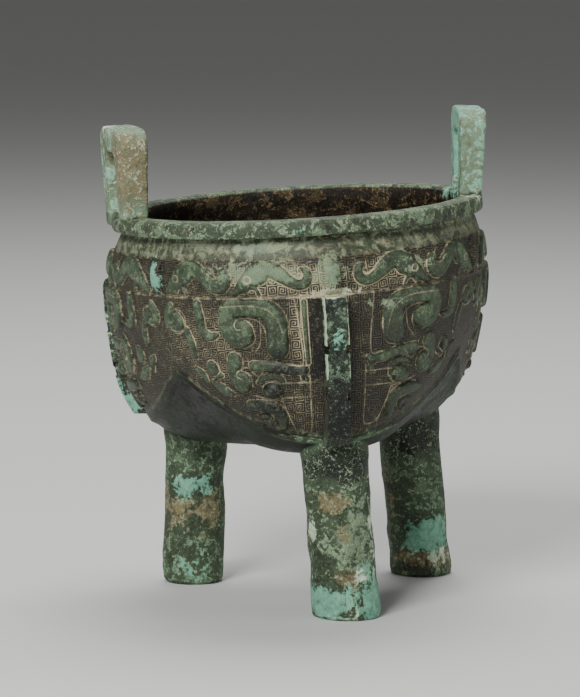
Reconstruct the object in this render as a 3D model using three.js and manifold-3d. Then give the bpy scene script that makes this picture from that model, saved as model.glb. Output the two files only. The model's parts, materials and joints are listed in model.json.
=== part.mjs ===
// A bronze ding: a three-lobed cooking vessel on three solid legs, cast in one piece with its
// rim, two upright handles, notched flanges and raised masks. Millimetres, +Z up, feet on z = 0.
// Every form is laid out on an upright casting and then leaned, and the feet meet the floor flat.
import * as THREE from "three";
import { mergeVertices } from "three/addons/utils/BufferGeometryUtils.js";
import Module from "manifold-3d";

const wasm = await Module();
wasm.setup();

// ---- Driving dimensions ------------------------------------------------------------------
const LEAN = 3.3; // degrees, the whole casting leans towards its left handle, -X
const LEG_AZIMUTHS = [-90, 30, 150]; // degrees, each leg stands under the middle of a lobe
const MOULD_SLIPS = [-1.3, 0, 0]; // degrees, how far each lobe's flange and mask sit off its middle
const RIM = { outer: 80, inner: 70, neck: 75.3, top: 170, thickness: 7.2, round: 1.6 };
const WALL = 4.2; // thickness of the cast wall
const BELLY_BOTTOM = 65; // height of the underside on the axis
// Height, radius over a leg and radius in the valley between two legs, from the axis outwards.
const STATIONS = [
  [65, 0, 0],
  [67, 42, 22],
  [71, 61.5, 38],
  [77, 70, 48.6],
  [84, 74.8, 55.8],
  [93, 78.7, 64],
  [104, 81.6, 69.4],
  [117, 83.4, 74.2],
  [130, 83.9, 77.1],
  [140, 83.7, 78.2],
  [150, 82.1, 78.2],
  [157, 78.7, 77.2],
  [RIM.top - RIM.thickness, RIM.neck, RIM.neck],
];
const LOBES = LEG_AZIMUTHS.length;
const OUTSIDE_STEPS = 42; // facets round the outside
const HOLLOW_STEPS = 30; // facets round the hollow
const UNDERSIDE_ROWS = 5;
const MASK_ROWS = 5;
const HOLLOW_ROWS = 9;

const LEG = { sides: 16, footCircle: 59.6, embedTo: 76, footRound: 1.6 };
// Radius of each leg, its thickening at the foot, and where its axis stands at the belly.
const LEGS = [
  { azimuth: -90, radius: 13.8, swell: 0.7, topCircle: 56.5 },
  { azimuth: 30, radius: 13.4, swell: 0.3, topCircle: 57.4 },
  { azimuth: 150, radius: 13.2, swell: 0.1, topCircle: 53.5 },
];
const BELLY_JOIN = 66; // height where a leg's axis reaches topCircle
const FOOT_SHIFT = 0.9; // the feet stand this far to +X of the casting's axis

const HANDLE = { width: 44, hole: 20, bar: 10.6, corner: 9, round: 1.3 };
// Each handle is thicker at its top; inset, turn and tilt are its own slips in the mould.
const HANDLES = [
  { side: -1, height: 37.8, base: 9.8, top: 12.8, inset: 0.8, turn: 4.3, tilt: -1 },
  { side: 1, height: 36.4, base: 9.3, top: 12, inset: 0, turn: -7.5, tilt: 4.6 },
];

const FLANGE = { width: 9.8, draft: 0.9, top: 143.5, rise: 7.2, lowRise: 8.7 };
const FLANGE_BOTTOMS = [75, 77, 78.5]; // one for each leg
const NOTCHES = [
  { height: 117, length: 3.6 },
  { height: 98.5, length: 6 },
];
const NOTCH_DEPTH = 1.9;
// Short flanges part the dragons of the upper band: over each leg, and lower in each valley.
const LEG_SHORT_FLANGE = { width: 7, top: 156, bottom: 139, rise: 4.6 };
const VALLEY_SHORT_FLANGE = { width: 5.6, top: 154, bottom: 140, rise: 3.2 };

const LEDGE = { height: 138.3, half: 1, lift: 1 }; // between the dragon band and the masks
const HEM = { valley: 104, leg: 76.5, half: 1.6, lift: 1 }; // lower border of the masks
const EMBED = 1.4; // how deep a raised band is rooted in the wall
const BRONZE = { color: 0x6f8273, metalness: 0.35, roughness: 0.62 };

// Each mask, and its flange, is centred here.
const MASK_AZIMUTHS = LEG_AZIMUTHS.map((azimuth, i) => azimuth + MOULD_SLIPS[i]);

// Millimetres round the belly for each degree from the middle of a mask.
const MM_PER_DEGREE = (82 * Math.PI) / 180;
const radians = THREE.MathUtils.degToRad;

// ---- Solids and booleans -----------------------------------------------------------------
function toSolid(geometry) {
  const bare = geometry.index ? geometry.toNonIndexed() : geometry.clone();
  bare.deleteAttribute("normal");
  bare.deleteAttribute("uv");
  const merged = mergeVertices(bare, 1e-4);
  const solid = new wasm.Manifold(
    new wasm.Mesh({
      numProp: 3,
      vertProperties: new Float32Array(merged.attributes.position.array),
      triVerts: new Uint32Array(merged.index.array),
    }),
  );
  if (solid.volume() < 0) throw new Error("a piece is inside out");
  return solid;
}

function toGeometry(solid) {
  const mesh = solid.getMesh();
  const geometry = new THREE.BufferGeometry();
  geometry.setAttribute("position", new THREE.BufferAttribute(mesh.vertProperties, 3));
  geometry.setIndex(new THREE.BufferAttribute(mesh.triVerts, 1));
  return geometry;
}

function joined(solids) {
  return solids.reduce((sum, solid) => sum.add(solid));
}

// A closed tube of rings: every ring has the same number of points, and each end is closed by
// a fan. With mirrored set, the faces are turned round, for a ring that runs the other way.
function tubeOfRings(rings, mirrored = false) {
  const count = rings[0].length;
  const points = rings.flat();
  const faces = [];
  const face = (a, b, c) => faces.push(...(mirrored ? [a, c, b] : [a, b, c]));
  for (let row = 0; row + 1 < rings.length; row++) {
    for (let i = 0; i < count; i++) {
      const j = (i + 1) % count;
      const [a, b] = [row * count + i, row * count + j];
      face(a, b, b + count);
      face(a, b + count, a + count);
    }
  }
  const last = (rings.length - 1) * count;
  for (let i = 1; i + 1 < count; i++) {
    face(0, i + 1, i);
    face(last, last + i, last + i + 1);
  }
  const geometry = new THREE.BufferGeometry().setFromPoints(points);
  return geometry.setIndex(faces);
}

// ---- The lobed wall ----------------------------------------------------------------------
// A smooth curve through values at rising positions.
function splineAt(x, positions, values) {
  let k = 0;
  while (k < positions.length - 2 && x > positions[k + 1]) k++;
  const slope = (i) => {
    const [low, high] = [Math.max(i - 1, 0), Math.min(i + 1, positions.length - 1)];
    return (values[high] - values[low]) / (positions[high] - positions[low]);
  };
  const span = positions[k + 1] - positions[k];
  const t = (x - positions[k]) / span;
  const [t2, t3] = [t * t, t * t * t];
  return (
    (2 * t3 - 3 * t2 + 1) * values[k] +
    (t3 - 2 * t2 + t) * span * slope(k) +
    (3 * t2 - 2 * t3) * values[k + 1] +
    (t3 - t2) * span * slope(k + 1)
  );
}

// The belly is flat at its lowest point, so the curve runs in the root of the height over it.
const rootHeight = (z) => Math.sqrt(Math.max(z - BELLY_BOTTOM, 0));
const STATION_ROOTS = STATIONS.map(([z]) => rootHeight(z));
const CREST_RADII = STATIONS.map((station) => station[1]);
const VALLEY_RADII = STATIONS.map((station) => station[2]);

// 1 over a leg, 0 in the valley between two legs.
const lobing = (azimuth) => (1 + Math.cos(radians(LOBES * (azimuth - LEG_AZIMUTHS[0])))) / 2;

function wallRadius(azimuth, z) {
  const root = rootHeight(z);
  const crest = splineAt(root, STATION_ROOTS, CREST_RADII);
  const valley = splineAt(root, STATION_ROOTS, VALLEY_RADII);
  return THREE.MathUtils.lerp(valley, crest, lobing(azimuth));
}

function polar(azimuth, radius, z) {
  return new THREE.Vector3(
    radius * Math.cos(radians(azimuth)),
    radius * Math.sin(radians(azimuth)),
    z,
  );
}

// A point on the wall, raised along the wall's own normal.
function onWall(azimuth, z, lift = 0) {
  const here = polar(azimuth, wallRadius(azimuth, z), z);
  const round = polar(azimuth + 0.5, wallRadius(azimuth + 0.5, z), z).sub(here);
  const up = polar(azimuth, wallRadius(azimuth, z + 0.4), z + 0.4).sub(here);
  const normal = round.cross(up).normalize();
  return here.addScaledVector(normal, lift);
}

const azimuthRing = (steps, pointAt) =>
  Array.from({ length: steps }, (_, i) => pointAt((i * 360) / steps));

const levelRing = (steps, radius, z) => azimuthRing(steps, (azimuth) => polar(azimuth, radius, z));

// Height of the masks' lower border at an azimuth: low round each leg, high in the valleys.
function hemHeight(azimuth) {
  const fromLeg = Math.acos(2 * lobing(azimuth) - 1) / Math.PI;
  return THREE.MathUtils.lerp(HEM.leg, HEM.valley, 0.35 * fromLeg + 0.65 * fromLeg ** 3);
}

// Height at a share of the way up from the lowest point, even in the root of the height.
const shareOfHeight = (top, share) => BELLY_BOTTOM + (rootHeight(top) * share) ** 2;

// The outside of the casting, solid up to the rim's top. Rows of facets follow the underside,
// the hem, the masks, the ledge, the dragon band and the rim.
function bowlOutside() {
  const { outer, top, thickness, round } = RIM;
  const neck = top - thickness;
  const row = (heightAt, lift = 0) =>
    azimuthRing(OUTSIDE_STEPS, (azimuth) => onWall(azimuth, heightAt(azimuth), lift));
  const underside = Array.from({ length: UNDERSIDE_ROWS }, (_, i) =>
    row((azimuth) => shareOfHeight(hemHeight(azimuth) - HEM.half, (i + 1) / UNDERSIDE_ROWS)),
  );
  const masks = Array.from({ length: MASK_ROWS }, (_, i) => {
    const share = i / (MASK_ROWS - 1);
    const low = (azimuth) => hemHeight(azimuth) + HEM.half;
    return row((azimuth) => THREE.MathUtils.lerp(low(azimuth), LEDGE.height - LEDGE.half, share));
  });
  const band = [LEDGE.height + LEDGE.half, 144, 150, 156.5].map((z) => row(() => z));
  const rim = [
    [RIM.neck, neck],
    [outer - round, neck],
    [outer, neck + round],
    [outer, top - round],
    [outer - round, top],
  ].map(([radius, z]) => levelRing(OUTSIDE_STEPS, radius, z));
  return tubeOfRings([
    ...underside,
    row(hemHeight, HEM.lift),
    ...masks,
    row(() => LEDGE.height, LEDGE.lift),
    ...band,
    ...rim,
  ]);
}

// The hollow, one wall's thickness inside the outside, open through the rim.
function bowlHollow() {
  const { inner, top, thickness, round } = RIM;
  const neck = top - thickness;
  const heights = Array.from({ length: HOLLOW_ROWS }, (_, i) =>
    shareOfHeight(neck, (i + 1) / HOLLOW_ROWS),
  );
  const wall = heights
    .slice(0, -1)
    .map((z) => azimuthRing(HOLLOW_STEPS, (azimuth) => onWall(azimuth, z, -WALL)));
  const mouth = [
    [inner, neck],
    [inner, top - round],
    [inner + round, top + 0.01],
    [inner + round, top + 1],
  ].map(([radius, z]) => levelRing(HOLLOW_STEPS, radius, z));
  return tubeOfRings([...wall, ...mouth]);
}

// ---- Legs --------------------------------------------------------------------------------
const leanMatrix = new THREE.Matrix4().makeRotationY(-radians(LEAN));

// A leg runs from the leaned belly to the level floor, so it is laid out where it stands.
function legSolid({ azimuth, radius, swell, topCircle }) {
  const top = polar(azimuth, topCircle, BELLY_JOIN).applyMatrix4(leanMatrix);
  const foot = polar(azimuth, LEG.footCircle, 0).add(new THREE.Vector3(FOOT_SHIFT, 0, 0));
  const sections = [
    [0, radius + swell - LEG.footRound],
    [LEG.footRound, radius + swell],
    [top.z * 0.75, radius - 0.2],
    [top.z * 0.94, radius - 0.3],
    [LEG.embedTo, radius + 0.6],
  ];
  const rings = sections.map(([z, size]) => {
    const centre = new THREE.Vector3().lerpVectors(foot, top, z / top.z);
    return Array.from({ length: LEG.sides }, (_, i) =>
      polar((i * 360) / LEG.sides, size, 0).add(new THREE.Vector3(centre.x, centre.y, z)),
    );
  });
  return toSolid(tubeOfRings(rings));
}

// ---- Handles -----------------------------------------------------------------------------
// An upright loop with rounded shoulders, standing on the rim with its outer face flush.
function handleSolid({ side, height, base, top, inset, turn, tilt }) {
  const { width, hole, bar, corner, round } = HANDLE;
  const [half, foot, holeTop] = [width / 2 - round, -RIM.thickness + round, height - bar];
  const outline = new THREE.Shape();
  outline.moveTo(-half, foot);
  outline.lineTo(half, foot);
  outline.lineTo(half, height - corner);
  outline.absarc(half - corner + round, height - corner, corner - round, 0, Math.PI / 2);
  outline.absarc(corner - half - round, height - corner, corner - round, Math.PI / 2, Math.PI);
  outline.closePath();
  const opening = new THREE.Path();
  const reach = hole / 2 + round;
  opening.moveTo(-reach, round);
  opening.lineTo(-reach, holeTop - 4 + round);
  opening.absarc(4 - reach, holeTop - 4 + round, 4, Math.PI, Math.PI / 2, true);
  opening.absarc(reach - 4, holeTop - 4 + round, 4, Math.PI / 2, 0, true);
  opening.lineTo(reach, round);
  opening.closePath();
  outline.holes.push(opening);
  const slab = new THREE.ExtrudeGeometry(outline, {
    depth: 1,
    curveSegments: 3,
    bevelThickness: round,
    bevelSize: round,
    bevelSegments: 1,
  });
  // Stretch the slab's thickness from the base's to the top's, then stand it on the rim.
  const position = slab.attributes.position;
  for (let i = 0; i < position.count; i++) {
    const thickness = THREE.MathUtils.mapLinear(position.getY(i), 0, height, base, top);
    const depth = THREE.MathUtils.mapLinear(position.getZ(i), -round, 1 + round, -0.5, 0.5);
    position.setZ(i, depth * thickness);
  }
  slab.rotateX(Math.PI / 2).rotateZ(Math.PI / 2);
  slab.rotateY(radians(side * tilt)).rotateZ(radians(turn));
  slab.translate(side * (RIM.outer - inset - base / 2), 0, RIM.top);
  return toSolid(slab.applyMatrix4(leanMatrix));
}

// ---- Flanges -----------------------------------------------------------------------------
// A straight rib up the middle of a lobe: a stack of sections with a little draft.
function ribSolid(azimuth, heights, width, draft, riseAt) {
  const rings = heights.map((z) => {
    const radius = wallRadius(azimuth, z);
    const across = (half, r) =>
      polar(azimuth, r, z).add(polar(azimuth + 90, half, 0)).applyMatrix4(leanMatrix);
    const tip = radius + riseAt(z);
    const root = radius - EMBED - 1;
    return [
      across(-width / 2 - draft, root),
      across(-width / 2, tip),
      across(width / 2, tip),
      across(width / 2 + draft, root),
    ];
  });
  return toSolid(tubeOfRings(rings));
}

function longFlange(azimuth, bottom) {
  const { width, draft, top, rise, lowRise } = FLANGE;
  const heights = [bottom, 82, 90, 103, 122, 138, top];
  const riseAt = (z) => {
    const towardsFoot = THREE.MathUtils.smoothstep(110 - z, 0, 22);
    const roundedTop = THREE.MathUtils.smoothstep(z, top - 4, top + 2) * 1.6;
    return THREE.MathUtils.lerp(rise, lowRise, towardsFoot) - roundedTop;
  };
  return notched(ribSolid(azimuth, heights, width, draft, riseAt), azimuth);
}

// Short slots cut into both side faces of a long flange.
function notched(flange, azimuth) {
  const cuts = NOTCHES.flatMap(({ height, length }) =>
    [-1, 1].map((side) => {
      const slot = new THREE.BoxGeometry(FLANGE.lowRise, 2 * NOTCH_DEPTH, length);
      const tangent = side * (FLANGE.width / 2 + 0.4);
      slot.translate(wallRadius(azimuth, height) + FLANGE.lowRise / 2 - 0.8, tangent, height);
      return toSolid(slot.rotateZ(radians(azimuth)).applyMatrix4(leanMatrix));
    }),
  );
  return flange.subtract(joined(cuts));
}

function shortFlange(azimuth, { width, top, bottom, rise }) {
  const middle = (top + bottom) / 2;
  const half = (top - bottom) / 2;
  const heights = [bottom, middle - 4.5, middle + 4.5, top];
  const riseAt = (z) => rise * Math.sqrt(Math.max(1 - ((z - middle) / half) ** 2, 0.02));
  return ribSolid(azimuth, heights, width - 1.6, 1, riseAt);
}

// ---- Raised ornament ---------------------------------------------------------------------
// Ornament is drawn on half a mask: u runs round the belly from the mask's middle, v is height.
const flat = (u, v) => new THREE.Vector2(u, v);

// Widths along a band: full in the middle and narrower at each end.
const taper = (from, middle, to) => (t) =>
  t < 0.5
    ? THREE.MathUtils.lerp(from, middle, Math.sin(Math.PI * t))
    : THREE.MathUtils.lerp(to, middle, Math.sin(Math.PI * t));

// A raised band along a curve, rooted in the wall. A broad band has a flat top as wide as its
// crown share says, and a narrow one rises to a ridge.
function bandSolid(mask, side, { curve, steps, width, lift, crown = 0 }) {
  const rings = curve.getSpacedPoints(steps).map((middle, i) => {
    const along = curve.getTangentAt(i / steps);
    const half = width(i / steps) / 2;
    const corner = (offset, height) => {
      const u = middle.x - along.y * offset;
      const v = middle.y + along.x * offset;
      return onWall(mask + (side * u) / MM_PER_DEGREE, v, height).applyMatrix4(leanMatrix);
    };
    const flatTop = [corner(half * crown, lift), corner(-half * crown, lift)];
    const top = crown > 0 ? flatTop : [corner(0, lift)];
    return [corner(half, -EMBED), ...top, corner(-half, -EMBED)];
  });
  return toSolid(tubeOfRings(rings, side < 0));
}

const through = (...points) => new THREE.SplineCurve(points.map(([u, v]) => flat(u, v)));

// A spiral from its eye outwards: turns are signed, so a negative one winds clockwise.
function spiral(u, v, inner, outer, startDegrees, turns) {
  const count = 9;
  return Array.from({ length: count }, (_, i) => {
    const t = i / (count - 1);
    const angle = radians(startDegrees + 360 * turns * t);
    const radius = THREE.MathUtils.lerp(inner, outer, t);
    return [u + radius * Math.cos(angle), v + radius * Math.sin(angle)];
  });
}

// One kui dragon of the upper band, looking away from the flange, its tail curled at start.
function dragonBands(start) {
  const body = through(
    [start + 5.5, 143.6],
    [start + 11, 149],
    [start + 18, 151.8],
    [start + 25, 148.6],
    [start + 32, 140.8],
  );
  const tail = through(...spiral(start + 4, 146.6, 1.8, 3, 180, 1));
  return [
    { name: "dragon", curve: body, steps: 5, width: taper(2.6, 5.4, 2.6), lift: 1.5 },
    { name: "dragon's tail", curve: tail, steps: 4, width: taper(2.2, 2.6, 2.4), lift: 1.4 },
  ];
}
const DRAGON_STARTS = [9.2, 46];

// The bands of one half mask, from the horn down to the jaw, and the creature beside it.
const MASK_BANDS = [
  {
    name: "horn",
    curve: through(
      [24.2, 114.6], [24.2, 123], [22.8, 131], [29, 135], [39, 135.4],
      [48, 133.6], [49.4, 126], [45.5, 118.4], [38.5, 116.6], [33.2, 120.4],
      [34, 126.6], [39.5, 127.6],
    ),
    steps: 12,
    width: (t) => (t < 0.32 ? 8.6 : THREE.MathUtils.lerp(5.4, 4.4, t)),
    lift: 2,
    crown: 0.7,
  },
  {
    name: "nose",
    curve: through([14.4, 134], [15.4, 122], [15.6, 111]),
    steps: 2,
    width: () => 4.4,
    lift: 1.5,
  },
  {
    name: "brow",
    curve: through([38.6, 107.4], [34, 112], [26.5, 112.2], [20.4, 109], [19.6, 102]),
    steps: 4,
    width: taper(2.4, 4.4, 1.8),
    lift: 1.6,
  },
  {
    name: "ear",
    curve: through(
      [43, 108.6], [40.2, 106.4], [42.4, 102.8], [47, 103.6], [49, 109],
      [46.6, 113.8], [42.6, 113.4],
    ),
    steps: 5,
    width: taper(1.8, 4.6, 3),
    lift: 1.6,
  },
  {
    name: "jaw",
    curve: through([42.5, 95.4], [34, 92.6], [26, 89.4], [20.8, 84.4], [18.6, 80.6]),
    steps: 4,
    width: taper(3, 5, 2),
    lift: 1.7,
  },
  {
    name: "upper leaf",
    curve: through([62.4, 112.4], [59, 108], [55.6, 106]),
    steps: 2,
    width: taper(2, 4, 1.6),
    lift: 1.2,
  },
  {
    name: "lower leaf",
    curve: through([61.6, 102.4], [56.4, 99.6], [51, 97]),
    steps: 2,
    width: taper(1.6, 4.4, 2.4),
    lift: 1.2,
  },
  {
    name: "creature",
    curve: through([61, 136.6], [61, 128], [61.4, 120]),
    steps: 2,
    width: () => 6.6,
    lift: 1.5,
  },
  {
    name: "creature's curl",
    curve: through(...spiral(73.8, 129, 1.2, 3.4, 200, -0.85), [68.6, 122], [66.4, 113]),
    steps: 6,
    width: taper(1.6, 3.2, 2),
    lift: 1.3,
  },
];

// The eye stands out as a low oval boss.
function eyeSolid(mask, side) {
  const eye = { u: 30.6, v: 99.6, halfWidth: 5, halfHeight: 3.5, lift: 2.8, sides: 8 };
  const ring = (scale, lift) =>
    Array.from({ length: eye.sides }, (_, i) => {
      const angle = (2 * Math.PI * i) / eye.sides;
      const u = eye.u + eye.halfWidth * scale * Math.cos(angle);
      const v = eye.v + eye.halfHeight * scale * Math.sin(angle);
      return onWall(mask + (side * u) / MM_PER_DEGREE, v, lift).applyMatrix4(leanMatrix);
    });
  const rings = [ring(1.05, -EMBED), ring(0.85, eye.lift * 0.75), ring(0.4, eye.lift)];
  return toSolid(tubeOfRings(rings, side < 0));
}

function ornament() {
  const halves = MASK_AZIMUTHS.flatMap((mask) => [-1, 1].map((side) => [mask, side]));
  const bands = [...DRAGON_STARTS.flatMap(dragonBands), ...MASK_BANDS];
  return [
    ...halves.map(([mask, side]) => eyeSolid(mask, side)),
    ...halves.flatMap(([mask, side]) => bands.map((band) => bandSolid(mask, side, band))),
  ];
}

// ---- The vessel --------------------------------------------------------------------------
function dingVessel() {
  const outside = joined([
    toSolid(bowlOutside().applyMatrix4(leanMatrix)),
    ...LEGS.map(legSolid),
    ...MASK_AZIMUTHS.map((azimuth, i) => longFlange(azimuth, FLANGE_BOTTOMS[i])),
    ...MASK_AZIMUTHS.map((azimuth) => shortFlange(azimuth, LEG_SHORT_FLANGE)),
    ...LEG_AZIMUTHS.map((azimuth) => shortFlange(azimuth + 180, VALLEY_SHORT_FLANGE)),
    ...ornament(),
  ]);
  const hollowed = outside.subtract(toSolid(bowlHollow().applyMatrix4(leanMatrix)));
  const casting = hollowed.add(joined(HANDLES.map(handleSolid)));
  const bronze = new THREE.MeshStandardMaterial(BRONZE);
  const vessel = new THREE.Mesh(toGeometry(casting), bronze);
  vessel.name = "ding_vessel";
  return vessel;
}

// The origin is on the floor under the middle of the vessel's own box.
function centredOnFloor(mesh) {
  const box = new THREE.Box3().setFromObject(mesh);
  const centre = box.getCenter(new THREE.Vector3());
  mesh.position.set(-centre.x, -centre.y, -box.min.z);
  return mesh;
}

const ding = new THREE.Group();
ding.add(centredOnFloor(dingVessel()));

export default ding;
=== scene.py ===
"""Looks for a bronze ding.

A lobed cooking vessel on three solid legs, cast in one piece with its rim, two upright handles,
notched flanges and raised masks, and coloured by long burial. The classes hold millimetres in the
casting's own upright frame, and meshes hold metres in the frame of the model.
"""

import json
import logging
import math
from dataclasses import dataclass, field
from enum import Enum

import bpy
import numpy as np
from mathutils import Matrix, Vector

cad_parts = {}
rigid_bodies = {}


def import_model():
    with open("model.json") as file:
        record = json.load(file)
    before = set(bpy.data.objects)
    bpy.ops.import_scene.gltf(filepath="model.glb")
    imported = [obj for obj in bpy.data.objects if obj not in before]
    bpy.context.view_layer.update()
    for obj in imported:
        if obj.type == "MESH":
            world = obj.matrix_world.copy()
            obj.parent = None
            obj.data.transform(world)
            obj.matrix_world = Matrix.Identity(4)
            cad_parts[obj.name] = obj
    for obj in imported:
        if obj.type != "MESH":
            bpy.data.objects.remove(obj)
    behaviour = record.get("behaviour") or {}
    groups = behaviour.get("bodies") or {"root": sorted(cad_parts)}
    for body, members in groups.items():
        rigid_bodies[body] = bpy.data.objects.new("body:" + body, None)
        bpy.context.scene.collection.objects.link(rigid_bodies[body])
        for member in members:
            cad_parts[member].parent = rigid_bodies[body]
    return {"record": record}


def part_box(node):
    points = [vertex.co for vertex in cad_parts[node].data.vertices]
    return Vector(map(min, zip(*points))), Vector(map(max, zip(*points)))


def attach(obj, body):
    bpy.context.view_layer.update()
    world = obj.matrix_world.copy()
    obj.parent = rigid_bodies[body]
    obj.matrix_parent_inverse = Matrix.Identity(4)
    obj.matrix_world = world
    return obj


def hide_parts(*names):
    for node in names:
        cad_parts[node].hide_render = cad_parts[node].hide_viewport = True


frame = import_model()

LOG = logging.getLogger("ding")
MM = 0.001  # metres in a millimetre
NODE = "ding_vessel"
SHARP_ANGLE = 50  # degrees between faces from which an edge is rounded
SMOOTH_ANGLE = 38  # degrees between faces up to which they are shaded as one
MEASURED = 4.0  # millimetres round a track within which distances are measured
PLAIN_COLUMNS = 312  # columns of faces round the plain parts of the wall and rim
Array = np.ndarray


# ---- Small tools --------------------------------------------------------------------------
def smooth_step(x: Array, low: float, high: float) -> Array:
    """0 below low, 1 above high, and smooth between them; low may be the greater."""
    t = np.clip((x - low) / (high - low), 0.0, 1.0)
    return t * t * (3 - 2 * t)


def ridge(offset: Array, half: float) -> Array:
    """1 where the offset is 0, and smoothly less on both sides of it."""
    return np.exp(-((offset / half) ** 2))


def hermite(
    t: Array, ends: tuple[Array, Array], slopes: tuple[Array, Array], span: Array | float = 1.0
) -> Array:
    """Values on a smooth curve between two ends.

    Args:
        t: How far along, from 0 to 1.
        ends: The values at both ends.
        slopes: The slopes at both ends.
        span: The length of the step that the slopes are measured over.

    Returns:
        The values at t.
    """
    return (
        (2 * t**3 - 3 * t**2 + 1) * ends[0]
        + (t**3 - 2 * t**2 + t) * span * slopes[0]
        + (3 * t**2 - 2 * t**3) * ends[1]
        + (t**3 - t**2) * span * slopes[1]
    )


def select_only(*objects: bpy.types.Object) -> None:
    """Selects these objects alone, and makes the first one active."""
    for other in bpy.context.view_layer.objects:
        other.select_set(other in objects)
    bpy.context.view_layer.objects.active = objects[0]


def apply_modifier(piece: bpy.types.Object, kind: str, **settings: object) -> None:
    """Adds a modifier to a piece and applies it.

    Args:
        piece: The mesh object.
        kind: The modifier's type.
        **settings: Its settings by name.
    """
    modifier = piece.modifiers.new(kind.lower(), kind)
    for name, value in settings.items():
        setattr(modifier, name, value)
    select_only(piece)
    bpy.ops.object.modifier_apply(modifier=modifier.name)


def combine(base: bpy.types.Object, other: bpy.types.Object, operation: str) -> None:
    """Joins another closed piece to a base, or cuts it out, and removes the other piece."""
    apply_modifier(base, "BOOLEAN", object=other, operation=operation, solver="MANIFOLD")
    bpy.data.objects.remove(other)


def soften(piece: bpy.types.Object, width: float, segments: int) -> None:
    """Rounds a piece's sharp edges by a width in millimetres."""
    limit = {"limit_method": "ANGLE", "angle_limit": math.radians(SHARP_ANGLE)}
    apply_modifier(piece, "BEVEL", width=width * MM, segments=segments, **limit)


def new_block(name: str, z: float = 0.0) -> bpy.types.Object:
    """A cube one metre across, with its middle on the frame's axis at a height in metres."""
    bpy.ops.object.select_all(action="DESELECT")
    bpy.ops.mesh.primitive_cube_add(size=1, location=(0, 0, z))
    block = bpy.context.object
    block.name = name
    return block


def slice_active(places: list, normal: tuple | Vector) -> None:
    """Cuts new edges round the active object where planes through these places meet it."""
    bpy.ops.object.mode_set(mode="EDIT")
    for place in places:
        bpy.ops.mesh.select_all(action="SELECT")
        bpy.ops.mesh.bisect(plane_co=place, plane_no=normal)
    bpy.ops.object.mode_set(mode="OBJECT")


def vertex_places(piece: bpy.types.Object) -> Array:
    """Every vertex of a piece as rows of x, y and z in metres."""
    places = np.empty(len(piece.data.vertices) * 3)
    piece.data.vertices.foreach_get("co", places)
    return places.reshape(-1, 3)


def set_vertex_places(piece: bpy.types.Object, places: Array) -> None:
    """Moves every vertex of a piece to its row of x, y and z in metres."""
    piece.data.vertices.foreach_set("co", places.ravel())
    piece.data.update()


@dataclass(frozen=True)
class Unevenness:
    """The gentle unevenness of a hand-made surface: waves that cross each other.

    Attributes:
        height: Greatest rise in millimetres.
        length: Mean length of a wave in millimetres.
        seed: Which set of waves.
        waves: How many waves cross.
    """

    height: float
    length: float
    seed: int = 1
    waves: int = 14

    def at(self, points: Array) -> Array:
        """The rise in millimetres at rows of points in millimetres."""
        random = np.random.default_rng(self.seed)
        directions = random.normal(size=(self.waves, 3))
        directions /= np.linalg.norm(directions, axis=1, keepdims=True)
        lengths = self.length * random.uniform(0.6, 1.6, self.waves)
        phases = random.uniform(0, 2 * math.pi, self.waves)
        turns = points @ (directions * (2 * math.pi / lengths)[:, None]).T + phases
        return self.height * np.sin(turns).sum(1) / math.sqrt(2 * self.waves)


# ---- Where the casting stands -------------------------------------------------------------
@dataclass(frozen=True)
class Stance:
    """How the casting stands: it leans as a whole, while its feet meet the floor flat.

    Attributes:
        axis: Where the casting's axis meets the floor, in millimetres of the model's frame.
        lean: Degrees that it leans towards -X.
    """

    axis: tuple[float, float]
    lean: float = 3.3

    @classmethod
    def over_feet(cls, mounts: list[dict], foot_shift: float) -> "Stance":
        """Finds the axis from the three feet, which stand foot_shift towards +X of it."""
        feet = np.array([m["pos_m"][:2] for m in mounts if m["name"].startswith("foot_")])
        x, y = feet.mean(0) / MM
        return cls(axis=(x - foot_shift, y))

    def lean_points(self, points: Array) -> Array:
        """Rows of points of the upright casting, leaned about the middle of its floor."""
        c, s = math.cos(math.radians(self.lean)), math.sin(math.radians(self.lean))
        x, y, z = points.T
        return np.stack([c * x - s * z, y, s * x + c * z], 1)

    def to_model(self, points: Array) -> Array:
        """Rows of millimetres in the upright casting, as metres in the model's frame."""
        return (self.lean_points(points) + [*self.axis, 0.0]) * MM

    def from_model(self, places: Array) -> Array:
        """Rows of metres in the model's frame, as millimetres in the upright casting."""
        c, s = math.cos(math.radians(self.lean)), math.sin(math.radians(self.lean))
        x, y, z = (places / MM - [*self.axis, 0.0]).T
        return np.stack([c * x + s * z, y, c * z - s * x], 1)


# ---- The lobed wall -----------------------------------------------------------------------
@dataclass(frozen=True)
class Rim:
    """The flat rim and the neck under it, in millimetres."""

    outer: float = 80.0
    inner: float = 70.0
    neck: float = 75.3
    top: float = 170.0
    thickness: float = 7.2
    round: float = 1.3

    @property
    def under(self) -> float:
        """Height of the rim's underside."""
        return self.top - self.thickness


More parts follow.
